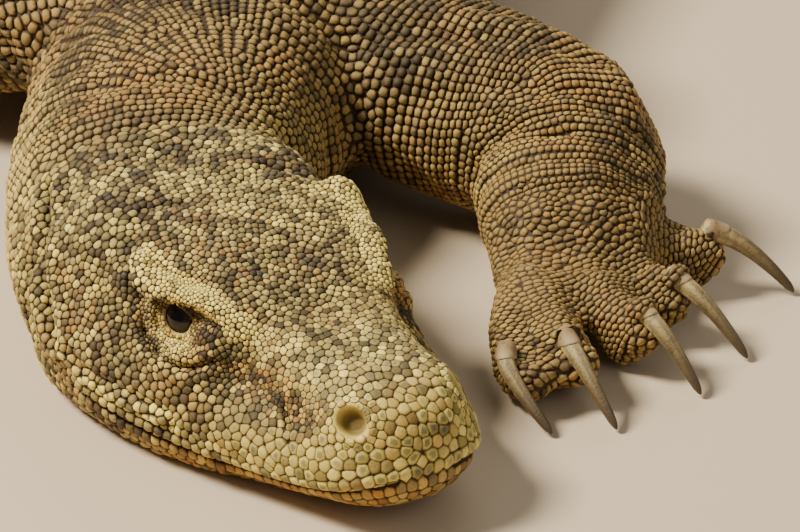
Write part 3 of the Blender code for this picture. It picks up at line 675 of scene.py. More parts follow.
@dataclass
class MarkingsAndShade:
    """How pale, dark and warm the hide is at a place, the same for the skin and the scales on it, with
    painted shade in the head's creases, pits and grooves.

    Attributes:
        anatomy: Where the animal's lines lie.
    """

    anatomy: Anatomy

    BROW = (
        (0.0758, 0.0307, 0.0638), (0.0914, 0.0367, 0.0705), (0.1108, 0.0428, 0.0755),
        (0.1268, 0.0482, 0.0790), (0.1367, 0.0494, 0.0825),
    )
    # The edge along which the brow hangs over the eye.
    OVERHANG = (
        (0.0848, 0.0366, 0.0628), (0.0886, 0.0379, 0.0662), (0.0967, 0.0404, 0.0695),
        (0.1086, 0.0430, 0.0700), (0.1171, 0.0465, 0.0700), (0.1236, 0.0490, 0.0705),
        (0.1309, 0.0512, 0.0725), (0.1385, 0.0516, 0.0790),
    )
    # The crease round the lids, and the pit in front of them, both sculpted and darkened with painted shade.
    EYE_FOLD = (
        (0.1345, 0.0522, 0.0713), (0.1307, 0.0544, 0.0640), (0.1270, 0.0549, 0.0539),
        (0.1190, 0.0565, 0.0497), (0.1127, 0.0545, 0.0468), (0.1036, 0.0544, 0.0468),
        (0.0959, 0.0489, 0.0485), (0.0910, 0.0443, 0.0522),
    )
    PIT = (0.0885, 0.0395, 0.0580)
    CANTHUS = ((0.085, 0.042, 0.052), (0.060, 0.036, 0.046), (0.042, 0.033, 0.044))
    JOWL = (
        (0.219, 0.0403, 0.0765), (0.195, 0.0572, 0.0635), (0.179, 0.0673, 0.0500),
        (0.166, 0.0730, 0.0400),
    )
    JAW = (
        (0.176, 0.070, 0.050), (0.160, 0.0755, 0.0375), (0.150, 0.0735, 0.0290),
        (0.1357, 0.0715, 0.0275), (0.104, 0.062, 0.0250),
    )
    TEMPLE = (0.1650, 0.0460, 0.0805)
    GROOVE = (
        (0.1440, 0.0520, 0.0780), (0.1500, 0.0440, 0.0855), (0.1600, 0.0300, 0.0895),
        (0.1540, 0.0140, 0.0900),
    )
    NOSE_FOLD = ((0.0590, 0.0340, 0.0460), (0.0535, 0.0372, 0.0420), (0.0471, 0.0393, 0.0379))
    NOSTRIL = (0.0238, 0.0245, 0.0462)
    NOSTRIL_FACING = (-0.42, 0.58, 0.70)
    NOSTRIL_SIZE = (0.0070, 0.0060)
    NOSTRIL_DEPTH = 0.008  # how far off its plane a place may lie

    def mirrored(self, points: Array) -> Array:
        """Head coordinates with both sides laid over one another."""
        h = self.anatomy.head.read(points)
        h[:, 1] = np.abs(h[:, 1])
        return h

    @staticmethod
    def away_from(h: Array, line: tuple[Spot, ...]) -> Array:
        """Distance of head places from a polyline."""
        best = np.full(len(h), FAR)
        for a, b in zip(line[:-1], line[1:]):
            best = np.minimum(best, length(off_stretch(h, a, b)))
        return best

    @staticmethod
    def away_from_spot(h: Array, spot: Spot | Array) -> Array:
        """Distance of head places from one of them."""
        return length(h - np.array(spot))

    def above_overhang(self, h: Array) -> Array:
        """How far places lie above the edge of the brow, measured over the hide: below it is negative."""
        best, above = np.full(len(h), FAR), np.zeros(len(h))
        for a, b in zip(self.OVERHANG[:-1], self.OVERHANG[1:]):
            d = off_stretch(h, a, b)
            away = length(d)
            above = np.where(away < best, away * np.sign(0.85 * d[:, 2] - 0.50 * d[:, 1]), above)
            best = np.minimum(best, away)
        return above

    @property
    def nostril_ways(self) -> tuple[Array, Array, Array]:
        """The way the nostril faces, and the ways of its length and width."""
        facing = unit(np.array(self.NOSTRIL_FACING))
        along = unit(np.array([1.0, 0.0, 0.0]) - facing * facing[0])
        return facing, along, np.cross(facing, along)

    def nostril_oval(self, h: Array) -> Array:
        """How far places lie from the middle of the nostril, 1 being its edge."""
        facing, along, across = self.nostril_ways
        d = h - np.array(self.NOSTRIL)
        oval = np.sqrt((d @ along / self.NOSTRIL_SIZE[0]) ** 2 + (d @ across / self.NOSTRIL_SIZE[1]) ** 2)
        return np.where(np.abs(d @ facing) < self.NOSTRIL_DEPTH, oval, FAR)

    def nostril_rim(self, h: Array) -> Array:
        """Width of the nostril's smooth rim at places round it, widest behind and below."""
        _, along, across = self.nostril_ways
        d = unit(h - np.array(self.NOSTRIL))
        return 1.10 + 0.20 * (0.6 * (d @ along) + 0.8 * (d @ across))

    def read(self, points: Array) -> dict[str, Array]:
        """Masks of the markings at places on the hide, the dark one with painted shade in the head's creases,
        pits and grooves.

        Args:
            points: Places in the row frame.

        Returns:
            Values from 0 to 1 named pale, dark, warm, grey and green.
        """
        h = self.mirrored(points)
        u, w = h[:, 0], h[:, 2]
        s, _, _ = self.anatomy.backbone.nearest(points)
        on_head = (1 - smoothstep(0.185, 0.235, s)) * ~self.anatomy.beside_head(points)

        def spot(place: Spot, reach: float) -> Array:
            return bell(self.away_from_spot(h, place), reach) * on_head

        snout = (1 - smoothstep(0.040, 0.090, u)) * on_head
        above = self.above_overhang(h)
        arch = 0.0040 * smoothstep(0.105, 0.122, u)
        brow = smoothstep(-0.0022, -0.0004, above) * (1 - smoothstep(0.0, 0.0030, above - 0.0068 - arch))
        brow = brow * smoothstep(0.066, 0.078, u) * (1 - smoothstep(0.140, 0.146, u)) * on_head
        jaw = bell(self.away_from(h, self.JAW), 0.0050) * on_head
        to_eye = self.away_from_spot(h, self.eye_place)
        orbit = (1 - smoothstep(0.017, 0.024, to_eye)) * on_head * smoothstep(0.0005, -0.0015, above)
        lid = bell(to_eye - 0.0112, 0.0024) * on_head * (1 - brow) * smoothstep(0.066, 0.056, w)
        rim = bell(self.nostril_oval(h) - 1.25, 0.30) * on_head
        line = mouth_height(u)
        lips = bell(w - line - 0.007, 0.006) * on_head * (1 - smoothstep(0.100, 0.150, u))
        lower = smoothstep(0.0012, -0.0012, w - line) * on_head * (1 - smoothstep(0.060, 0.120, u))
        crown = smoothstep(0.060, 0.074, w) * smoothstep(0.050, 0.10, u) * on_head * (1 - brow)
        cheek = (1 - smoothstep(0.055, 0.070, w)) * smoothstep(0.095, 0.13, u) * on_head
        lore = bell(self.away_from(h, self.CANTHUS), 0.0100) * on_head * (1 - brow)
        # The crease round the lids, which gets painted shade below.
        fold = bell(self.away_from(h, self.EYE_FOLD), 0.0020) * on_head
        yellow = spot((0.1080, 0.0500, 0.0545), 0.0055)
        tear = spot((0.0975, 0.0430, 0.0605), 0.0060) * (1 - brow)
        top = smoothstep(0.050, 0.060, w) * smoothstep(0.010, 0.030, u)
        body = 1 - on_head
        hand = np.max([bell(away, 0.030) for away in self.from_hand(points)], axis=0)
        blotch, patch, fine = cloud(points, 0.050, 3), cloud(points, 0.020, 5), cloud(points, 0.009, 11)
        spotted = smoothstep(0.52, 0.66, fine)
        shaded = smoothstep(0.48, 0.62, patch)
        pale = 0.05 + 1.10 * brow + 0.26 * snout + 0.40 * lid + 0.45 * rim
        pale = pale + 0.22 * lips + 0.60 * jaw + 0.9 * yellow
        pale = pale + on_head * (0.22 * smoothstep(0.52, 0.70, blotch) + 0.34 * spotted * (1 - 0.4 * snout))
        pale = pale + 0.40 * bell(s - 0.235, 0.045) * (1 - smoothstep(0.070, 0.095, w))
        flecks = cloud(points, 0.0050, 29)
        high = np.clip(top + crown, 0, 1) * on_head
        pale = pale + (0.62 * snout + 0.40 * crown) * smoothstep(0.53, 0.64, flecks) * high
        # Pale is taken out of the crease round the lids, as part of its painted shade.
        pale = pale * (1 - 0.85 * lore) * (1 - 0.8 * fold) * (1 - 0.8 * lower) * (1 - 0.7 * tear)
        # Painted shade: the pit in front of the eye, the groove across the back of the crown, the crease
        # round the lids, the jowl fold and the fold behind the nostril are darkened where shade falls in
        # them.
        dark = 0.75 * spot((0.150, 0.046, 0.086), 0.016) + 1.00 * spot(self.PIT, 0.0045)
        dark = dark + 0.60 * bell(self.away_from(h, self.GROOVE), 0.0050) * on_head
        mottle = 0.45 + 1.1 * smoothstep(0.44, 0.60, cloud(points, 0.0055, 23))
        dark = dark + 0.40 * tear + 0.95 * lore * mottle + 1.00 * fold
        dark = dark + 0.70 * bell(self.away_from(h, self.JOWL), 0.0045) * on_head
        dark = dark + 0.80 * bell(self.away_from(h, self.NOSE_FOLD), 0.0016) * on_head
        dark = dark + 0.40 * spot((0.128, 0.066, 0.040), 0.018) + 0.45 * orbit * (1 - lid) * (1 - yellow)
        dark = dark + 0.75 * shaded * on_head * (1 - 0.70 * snout * (1 - 0.7 * top))
        dark = dark + 0.34 * crown + 0.46 * cheek
        dark = dark + 0.75 * smoothstep(0.47, 0.38, flecks) * high
        dark = dark + 0.38 * smoothstep(0.140, 0.175, u) * crown + 0.30 * lower
        blots = smoothstep(0.46, 0.66, cloud(points, 0.05, 7))
        dark = dark + body * (0.40 - 0.24 * hand + (0.60 - 0.30 * hand) * blots)
        dark = dark * (1 - 0.95 * brow) * (1 - 0.7 * jaw) * (1 - 0.6 * lower)
        warm = 0.18 + 1.10 * orbit * (1 - yellow) + 0.80 * lore + 1.0 * lower + 1.0 * tear
        warm = warm + 0.9 * brow * smoothstep(0.0012, -0.0006, above) + 0.35 * rim
        warm = warm + 0.45 * smoothstep(0.5, 0.7, cloud(points, 0.04, 17))
        grey = snout * (0.35 * shaded + 0.60 * top) + 0.60 * crown + 0.45 * spot((0.130, 0.066, 0.036), 0.02)
        grey = grey + body * (0.20 + 0.35 * smoothstep(0.8, 1.6, s)) + 0.30 * cheek
        green = 1.00 * snout * (1 - smoothstep(0.050, 0.060, w)) * (1 - lower) + 0.35 * lips + 0.20 * snout
        green = green * (1 - 0.8 * lore)
        masks = {"pale": pale, "dark": dark, "warm": warm, "grey": grey, "green": green}
        return {name: np.clip(values, 0, 1) for name, values in masks.items()}

    def from_hand(self, points: Array) -> list[Array]:
        """Distances of places from the lines of the left hand's digits."""
        return [self.anatomy.rays[("left_fore", digit)].nearest(points)[1] for digit in range(1, 6)]

    @property
    def eye_place(self) -> Array:
        """Centre of the eyeballs in mirrored head coordinates."""
        return self.mirrored(np.array(self.anatomy.head.eyes))[0]


# ------------------------------------------------------------------ the skin
@dataclass
class Skin:
    """One skin over all the flesh, sculpted with folds, lids, nostrils and lips.

    Attributes:
        anatomy: Where the animal's lines lie.
        markings_and_shade: Masks it carries.
        voxel: Mesh width of its first form.
        depth: How far it lies inside the solids.
        join: How far the solids are swelled so that their cuts close.
        lid: Thickness of the eyelids.
        opening: Half width and half height of the eye's opening.
    """

    anatomy: Anatomy
    markings_and_shade: MarkingsAndShade
    voxel: float = 0.004
    depth: float = 0.0008
    join: float = 0.0006
    lid: float = 0.0013
    opening: tuple[float, float] = (0.0058, 0.0062)
    obj: bpy.types.Object = field(init=False)

    # Passes that soften the first form, and rounds and furthest step that bring it back to the solids.
    SOFTENINGS, SETTLINGS, FURTHEST = 6, 2, 0.004
    # Where the trunk's coarser mesh starts, how far from the feet it keeps, and the share of it that goes.
    COARSE_FROM, OFF_FEET, THINNED = 0.36, 0.19, 0.62
    # How far the finer mesh reaches round the eyes and nostrils, and round the root of a claw.
    FINE_REACHES, FINE_AT_CLAWS = (0.0165, 0.0150), 0.021
    CUFF = 0.0069  # radius of a toe's end round the root of its claw
    CREASES = 0.0115  # distance between the creases of a limb
    OFF_FLOOR = 0.0002
    # Distance of each fold round the neck from the snout, and its depth.
    NECK_FOLDS = (
        (0.212, 0.0010), (0.232, 0.0012), (0.249, 0.0028), (0.268, 0.0022), (0.290, 0.0036), (0.308, 0.0022),
        (0.331, 0.0030), (0.352, 0.0022), (0.380, 0.0020), (0.412, 0.0016), (0.450, 0.0012),
    )
    FLESH = (
        "head", "lower_jaw", "neck", "chest", "belly", "pelvis", *(f"tail_{i}" for i in range(1, 6)),
        *(f"{leg}_{part}" for leg in LIMB_JOINTS for part in ("upper", "lower", "foot")),
    )

    def build(self) -> None:
        """Makes the skin from the solids and sculpts it."""
        self.obj = self._wrap()
        self._settle()
        self._refine()
        self._sculpt()
        for name, values in self.markings_and_shade.read(self._points()).items():
            set_attribute(self.obj, name, values)
        bake_map(self.obj, self.anatomy, self._points())
        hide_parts(*self.FLESH)
        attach(self.obj, BODY)

    def _solid_surface(self) -> tuple[Array, Array]:
        """Points and triangles of all solids of flesh together."""
        points, faces, start = [], [], 0
        for name in self.FLESH:
            part = Surface.of(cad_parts[name])
            rounded, index = np.unique(np.round(part.points, 6), axis=0, return_inverse=True)
            points.append(rounded)
            faces.append(index.reshape(-1)[part.faces] + start)
            start += len(rounded)
        return np.vstack(points), np.vstack(faces)

    def _wrap(self) -> bpy.types.Object:
        """One closed mesh round the solids, with the cuts between them closed."""
        points, faces = self._solid_surface()
        obj = mesh_object("skin", points, faces)
        swell = obj.modifiers.new("swell", "DISPLACE")
        swell.strength = self.join
        swell.mid_level = 0.0
        apply_modifiers(obj)
        plugs = self._plugs()
        choose(obj)
        for plug in plugs:
            plug.select_set(True)
        bpy.ops.object.join()
        remesh = obj.modifiers.new("remesh", "REMESH")
        remesh.mode = "VOXEL"
        remesh.voxel_size = self.voxel
        soften = obj.modifiers.new("smooth", "SMOOTH")
        soften.factor = 0.5
        soften.iterations = self.SOFTENINGS
        apply_modifiers(obj)
        return obj

    def _plugs(self) -> list[bpy.types.Object]:
        """Balls that fill the eye sockets and the seats of the claws."""
        head = self.anatomy.head
        balls = [(centre, head.eye_radius + 0.001) for centre in head.eyes]
        for digit in self.anatomy.digits:
            inwards = unit(digit.joint - digit.root)
            balls.append((digit.root + inwards * 0.0035 * digit.scale, 0.0062 * digit.scale))
        made = []
        for centre, radius in balls:
            deselect()
            bpy.ops.mesh.primitive_uv_sphere_add(segments=20, ring_count=12, radius=radius, location=centre)
            made.append(bpy.context.object)
            bpy.ops.object.transform_apply(location=True, rotation=True, scale=True)
        return made

    def _points(self) -> Array:
        """The skin's vertices."""
        return read_mesh(self.obj.data.vertices, "co", width=3)

    def _set_points(self, points: Array) -> None:
        """Moves the skin's vertices."""
        write_mesh(self.obj.data.vertices, "co", points)
        self.obj.data.update()

    def _averaged(self, values: Array, passes: int, share: float | Array = 0.5) -> Array:
        """Values blended with those of their neighbours over the mesh.

        Args:
            values: One row for each vertex.
            passes: How many times.
            share: How much of the neighbours' mean each vertex takes.

        Returns:
            The blended values.
        """
        edges = read_mesh(self.obj.data.edges, "vertices", np.int32, 2)
        here, there = np.concatenate([edges, edges[:, ::-1]]).T
        count = np.bincount(here, minlength=len(values)).clip(1)
        values = values.reshape(len(values), -1)
        share = np.broadcast_to(np.asarray(share, float), (len(values),))[:, None]
        for _ in range(passes):
            sums = [np.bincount(here, column[there], len(values)) for column in values.T]
            total = np.stack(sums, 1)
            values = values * (1 - share) + total / count[:, None] * share
        return values

    def _settle(self) -> None:
        """Brings the smoothed skin back to its depth inside the solids."""
        points, faces = self._solid_surface()
        tree = BVHTree.FromPolygons(points.tolist(), faces.tolist())
        for _ in range(self.SETTLINGS):
            here = self._points()
            normals = Surface.of(self.obj).normals
            hits = [tree.find_nearest(p) for p in here.tolist()]
            near = np.array([tuple(h[0]) for h in hits])
            out = np.array([tuple(h[1]) for h in hits])
            off = np.clip(dot(here - near, out), -self.FURTHEST, self.FURTHEST)
            wanted = self._averaged(-self.depth - off, 6)[:, 0]
            self._set_points(here + normals * wanted[:, None])

    def _subdivide(self, inside: Array, smoothness: float) -> None:
        """Splits the faces whose vertices all pass a test.

        Args:
            inside: Which vertices pass.
            smoothness: How round the new faces are.
        """
        choose(self.obj)
        mesh = self.obj.data
        for items in (mesh.vertices, mesh.edges):
            write_mesh(items, "select", np.zeros(len(items)), bool)
        corners = read_mesh(mesh.loops, "vertex_index", np.int32)
        chosen = np.logical_and.reduceat(inside[corners], read_mesh(mesh.polygons, "loop_start", np.int32))
        write_mesh(mesh.polygons, "select", chosen, bool)
        bpy.ops.object.mode_set(mode="EDIT")
        bpy.ops.mesh.select_mode(type="FACE")
        bpy.ops.mesh.subdivide(number_cuts=1, smoothness=smoothness)
        bpy.ops.object.mode_set(mode="OBJECT")
        deselect()

    def _refine(self) -> None:
        """Gives the trunk a coarser mesh, and the head, eyes, nostrils and claw roots finer ones."""
        points = self._points()
        s, _, _ = self.anatomy.backbone.nearest(points)
        feet = np.array([tuple(self.anatomy.at_limb(joints[3])) for joints in LIMB_JOINTS.values()])
        to_foot = length(points[:, None] - feet[None]).min(1)
        group = self.obj.vertex_groups.new(name="trunk")
        trunk = (s > self.COARSE_FROM) & (to_foot > self.OFF_FEET)
        group.add(np.nonzero(trunk)[0].tolist(), 1.0, "REPLACE")
        thin = self.obj.modifiers.new("thin", "DECIMATE")
        thin.ratio = 1 - self.THINNED * float(trunk.mean())
        thin.vertex_group = group.name
        thin.vertex_group_factor = 1.0
        apply_modifiers(self.obj)
        self.obj.vertex_groups.clear()
        self._subdivide(self._near_head(0.0), 1.0)
        self._smooth_head(2)
        self._subdivide(self._near_head(0.0) & self._front_or_features(), 1.0)
        for reach in self.FINE_REACHES:
            self._subdivide(self._near_features(reach), 0.0)
        points = self._points()
        to_claws = [length(points - digit.root) for digit in self.anatomy.digits]
        self._subdivide(np.min(to_claws, axis=0) < self.FINE_AT_CLAWS, 1.0)

    def _near_head(self, extra: float) -> Array:
        """Which vertices are on the head."""
        points = self._points()
        s, _, _ = self.anatomy.backbone.nearest(points)
        h = self.anatomy.head.read(points)
        return (s < 0.205 + extra) & (h[:, 0] < 0.215) & ~self.anatomy.beside_head(points)

    def _smooth_head(self, passes: int) -> None:
        """Softens the solids' facets on the head."""
        points = self._points()
        self._set_points(self._averaged(points, passes, 0.5 * self._near_head(0.02)))

    def _front_or_features(self) -> Array:
        """Which vertices of the head need a fine mesh."""
        points, marks = self._points(), self.markings_and_shade
        h = marks.mirrored(points)
        eye = marks.away_from_spot(h, marks.eye_place) < 0.034
        eye |= marks.away_from(h, marks.BROW) < 0.010
        nose = marks.away_from_spot(h, marks.NOSTRIL) < 0.022
        lips = np.abs(h[:, 2] - mouth_height(h[:, 0])) < 0.006
        lips &= ~self.anatomy.beside_head(points)
        return eye | nose | (lips & (h[:, 0] < 0.165) & (h[:, 1] > 0.01)) | (lips & (h[:, 0] < 0.02))

    def _near_features(self, reach: float) -> Array:
        """Which vertices lie close to an eye or a nostril."""
        marks = self.markings_and_shade
        h = marks.mirrored(self._points())
        eye = marks.away_from_spot(h, marks.eye_place) < reach
        nose = marks.away_from_spot(h, marks.NOSTRIL) < reach * 0.72
        edge = marks.away_from(h, marks.OVERHANG) < 0.0035
        return eye | nose | (edge & (reach > 0.016))

    def _sculpt(self) -> None:
        """Cuts the folds, lids, nostrils and mouth into the skin."""
        points = self._points()
        normals = Surface.of(self.obj).normals
        h = self.markings_and_shade.mirrored(points)
        s, _, _ = self.anatomy.backbone.nearest(points)
        head = (1 - smoothstep(0.19, 0.23, s)) * ~self.anatomy.beside_head(points)
        left = self.anatomy.head.read(points)[:, 1] > 0
        lift = self._head_lift(h, left) * head + self._neck_lift(points, s) + self._limb_lift(points)
        points = points + normals * lift[:, None]
        for centre, side in zip(self.anatomy.head.eyes, (1.0, -1.0)):
            points = self._lids(points, centre, side)
        for digit in self.anatomy.digits:
            points = self._cuff(points, digit)
        points[:, 2] = np.maximum(points[:, 2], FLOOR + self.OFF_FLOOR)
        self._set_points(points)
        self._mark_openings(points)

    def _mark_openings(self, points: Array) -> None:
        """Stores where the skin is bare of scales, and the painted shade where it goes inside the animal: in
        the nostrils, the mouth's slit and the eye sockets.
        """
        h = self.markings_and_shade.mirrored(points)
        oval = self.markings_and_shade.nostril_oval(h)
        below = np.abs(h[:, 2] - mouth_height(h[:, 0]))
        mouth = (1 - smoothstep(0.0004, 0.0013, below)) * (1 - smoothstep(0.150, 0.162, h[:, 0]))
        mouth = mouth * ~self.anatomy.beside_head(points)
        # Painted shade: near black inside the nostrils and along the mouth's slit, and below round the
        # eyeballs.
        hollow_shade = np.maximum(0.85 * (1 - smoothstep(0.62, 1.00, oval)), mouth)
        to_eye = length(points[:, None] - np.array(self.anatomy.head.eyes)[None]).min(1)
        radius = self.anatomy.head.eye_radius
        hollow_shade = np.maximum(hollow_shade * 0.8, 1 - smoothstep(radius - 0.0004, radius + 0.0004, to_eye))
        set_attribute(self.obj, "hollow_shade", hollow_shade)
        bare = 1 - smoothstep(radius + 0.0020, radius + 0.0060, to_eye)
        set_attribute(self.obj, "bare", np.maximum(bare, 1 - smoothstep(1.1, 1.7, oval)) * 0.9)

    def _head_lift(self, h: Array, left: Array) -> Array:
        """How far the head's forms rise from the skin.

        Args:
            h: Mirrored places on the head.
            left: Which of them are on the animal's left.

        Returns:
            The rise of each.
        """
        marks, away, spot = self.markings_and_shade, self.markings_and_shade.away_from, self.markings_and_shade.away_from_spot
        r = spot(h, marks.eye_place)
        u, a, w = h.T
        above = marks.above_overhang(h)
        ends = smoothstep(0.072, 0.090, u) * (1 - smoothstep(0.1375, 0.1425, u))
        ridge = smoothstep(-0.0014, 0.0006, above) * (1 - smoothstep(0.0030, 0.0100, above))
        lift = (0.0022 + 0.0026 * smoothstep(0.085, 0.130, u)) * ridge * ends
        under = smoothstep(-0.0002, -0.0020, above) * (1 - smoothstep(-0.0055, -0.0110, above))
        lift -= 0.0036 * under * smoothstep(0.086, 0.096, u) * (1 - smoothstep(0.136, 0.142, u))
        fold = away(h, marks.EYE_FOLD)
        inside = 1 - smoothstep(0.0165, 0.0200, r)
        lift -= 0.0034 * bell(fold, 0.0014)
        lift += 0.0016 * bell(fold - 0.0042, 0.0018) * inside
        lift -= 0.0012 * bell(fold - 0.0072, 0.0010) * inside
        lift += 0.0018 * bell(fold - 0.0040, 0.0026) * (1 - inside) * (w < 0.062)
        lift -= 0.0022 * bell(away(h, marks.CANTHUS), 0.0060)
        lift -= 0.0026 * bell(away(h, marks.NOSE_FOLD), 0.0012)
        lift += 0.0014 * bell(away(h, marks.NOSE_FOLD) - 0.0030, 0.0014)
        lift -= 0.0020 * bell(away(h, marks.GROOVE), 0.0030)
        lift += 0.0018 * bell(spot(h, marks.TEMPLE), 0.0150)
        lore = bell(away(h, marks.CANTHUS), 0.0085)
        lift += lore * 0.0030 * (cloud(h, 0.0052, 23, 2) - 0.5)
        lift -= 0.0042 * bell(spot(h, marks.PIT), 0.0028)
        oval = marks.nostril_oval(h)
        lift += 0.0011 * bell(oval - 1.22, 0.26) - 0.0050 * (1 - smoothstep(0.50, 1.04, oval))
        below = w - mouth_height(u)
        along = (1 - smoothstep(0.150, 0.162, u)) * smoothstep(0.006, 0.012, a + 0.03 * (u < 0.015))
        lift -= 0.0020 * bell(below, 0.0008) * along
        lift += 0.0015 * bell(below - 0.0040, 0.0030) * along
        lift += 0.0006 * bell(below + 0.0034, 0.0024) * along
        lift += 0.0012 * (cloud(h, 0.018, 21) - 0.5)
        jowl = np.where(left, 0.3, 1.0)
        lift -= 0.0050 * jowl * bell(away(h, marks.JOWL), 0.0030)
        lift += 0.0026 * jowl * bell(away(h, marks.JOWL) - 0.0070, 0.0036)
        jaw = away(h, marks.JAW)
        lift += 0.0022 * bell(jaw, 0.0026)
        lift -= 0.0018 * bell(jaw - 0.0050, 0.0018)
        left_brow = bell(u - 0.120, 0.030) * smoothstep(0.035, 0.050, a) * smoothstep(0.035, 0.060, w)
        bulge = bell(u - 0.097, 0.020) * smoothstep(0.034, 0.046, a) * smoothstep(0.035, 0.050, w)
        lift += np.where(left, 0.0036, 0.0) * bulge * (1 - smoothstep(0.068, 0.078, w))
        return lift + np.where(left, 0.0022, 0.0014) * left_brow

    def _neck_lift(self, points: Array, s: Array) -> Array:
        """How far the folds round the neck and body rise."""
        warp = 0.016 * (cloud(points, 0.07, 31) - 0.5) + 0.006 * (cloud(points, 0.025, 32) - 0.5)
        lift = np.zeros(len(points))
        for k, (place, depth) in enumerate(self.NECK_FOLDS):
            patch = smoothstep(0.25, 0.55, cloud(points, 0.09, 40 + k, 1))
            lift -= depth * bell(s + warp - place, 0.0042) * patch
        rear = smoothstep(0.45, 0.60, s) * (1 - smoothstep(1.05, 1.25, s))
        lift += rear * 0.0040 * (cloud(points * np.array([1.0, 2.2, 1.0]), 0.12, 51) - 0.5)
        return lift

    def _limb_lift(self, points: Array) -> Array:
        """How far the creases over the limbs rise."""
        lift = np.zeros(len(points))
        for line in self.anatomy.limbs.values():
            along, away, index = line.nearest(points)
            near = away < line.radii[index] * 1.35
            warp = 0.010 * (cloud(points, 0.05, 61) - 0.5)
            wave = 0.5 - 0.5 * np.cos((along + warp) / self.CREASES * TURN)
            part = along / line.lengths[-1]
            strength = 0.0006 + 0.0016 * smoothstep(0.74, 0.95, part) + 0.0010 * bell(part - 0.62, 0.07)
            patch = smoothstep(0.30, 0.60, cloud(points, 0.06, 62))
            lift -= np.where(near, strength * wave**3 * patch, 0.0)
        return lift

    def gaze(self, side: float) -> tuple[Array, Array, Array]:
        """The way an eye looks, and its opening's own forward and up directions."""
        head = self.anatomy.head
        way = unit(head.left * side * 0.76 - head.back * 0.46 + np.array([0, 0, 0.42]))
        forward = unit(np.cross(UP, way)) * -side
        return way, forward, unit(UP - way * way[2])

    @staticmethod
    def _cuff(points: Array, digit: Digit) -> Array:
        """Swells a toe's end so that it wraps the root of its claw.

        Args:
            points: The skin's vertices.
            digit: The toe.

        Returns:
            The moved vertices.
        """
        scale = digit.scale
        way = unit(unit(digit.root - digit.joint) + 0.5 * unit(digit.tip - digit.root))
        d = points - digit.root
        along = d @ way / scale
        out = d - (d @ way)[:, None] * way
        reach = length(out)
        wanted = Skin.CUFF * scale
        mask = smoothstep(-0.018, -0.009, along) * (1 - smoothstep(0.0005, 0.0030, along))
        mask = mask * smoothstep(-0.3, 0.1, out[:, 2] / np.maximum(reach, 1e-6)) * (reach < wanted)
        grow = (wanted - reach) * mask
        return points + out / np.maximum(reach, 1e-6)[:, None] * grow[:, None]

    def _lids(self, points: Array, centre: Array, side: float) -> Array:
        """Wraps the skin over an eyeball as lids with an opening between them.

        Args:
            points: The skin's vertices.
            centre: The eyeball's centre.
            side: 1 for the left eye, -1 for the right.

        Returns:
            The moved vertices.
        """
        gaze, across, up = self.gaze(side)
        radius = self.anatomy.head.eye_radius
        d = points - centre
        r = length(d)
        way = d / r[:, None]
        facing = way @ gaze
        x, y = way @ across * radius, way @ up * radius
        oval = np.sqrt((x / self.opening[0]) ** 2 + ((y + 0.15 * x) / self.opening[1]) ** 2)
        oval = np.maximum(oval, 1 + (y + 0.62 * x - 0.0042) / 0.0050)
        shut = smoothstep(0.94, 1.10, oval)
        swell = self.lid + 0.0008 * bell(oval - 1.32, 0.16) - 0.0004 * bell(oval - 1.62, 0.10)
        shell = (radius - 0.0013) * (1 - shut) + (radius + swell) * shut
        cap = smoothstep(0.20, 0.55, facing) * (1 - smoothstep(radius + 0.005, radius + 0.011, r))
        cap = np.where(facing > 0, cap, 0.0)
        return centre + way * (r * (1 - cap) + shell * cap)[:, None]


# ------------------------------------------------------------------ the pattern's own map
class FlatMap:
    """Lays the hide flat: the trunk and head in one strip, each leg in its own."""

    TRUNK = (0.01, 0.02, 0.97, 0.38)
    LEGS = {name: (0.02 + 0.245 * k, 0.52, 0.22, 0.38) for k, name in enumerate(LIMB_JOINTS)}
    PATCH = 0.003
    # A place is on a leg within this many of its radii, if it isn't this much nearer to the trunk's line.
    REACH, BIAS = 1.45, 1.02

    def __init__(self, anatomy: Anatomy) -> None:
        """Joins each leg's bones and middle toe in one line."""
        self.lines = [anatomy.backbone]
        self.strips = [self.TRUNK]
        for name, limb in anatomy.limbs.items():
            toe = anatomy.toes[(name, 3)]
            points = np.vstack([limb.points, toe.points[2:]])
            self.lines.append(Line(points, np.concatenate([limb.radii, toe.radii[2:] * 2.4])))
            self.strips.append(self.LEGS[name])

    def strip_of(self, points: Array) -> Array:
        """Which strip each place belongs to: 0 for the trunk, then one for each leg."""
        ratios = []
        for line in self.lines:
            _, away, index = line.nearest(points)
            ratios.append(away / line.radii[index])
        ratios = np.stack(ratios, 1)
        leg = ratios[:, 1:].argmin(1) + 1
        nearest = ratios[np.arange(len(points)), leg]
        return np.where((nearest < self.REACH) & (nearest < ratios[:, 0] * self.BIAS), leg, 0)

    def lay(self, points: Array, strip: Array) -> Array:
        """Flat places of points in their strips, with the seam underneath.

        Args:
            points: Places on the hide.
            strip: The strip of each.

        Returns:
            Two numbers from 0 to 1 for each.
        """
        flat = np.zeros((len(points), 2))
        for k, (line, (left, low, wide, high)) in enumerate(zip(self.lines, self.strips)):
            mine = strip == k
            if not mine.any():
                continue
            along, _, index = line.nearest(points[mine])
            way = line.ways[index]
            side = unit(np.cross(UP, way))
            up = np.cross(way, side)
            d = points[mine] - line.points[index]
            angle = np.arctan2(dot(d, side), dot(d, up))
            flat[mine, 0] = left + wide * along / line.lengths[-1]
            flat[mine, 1] = low + high * (angle / TURN + 0.5)
        return flat


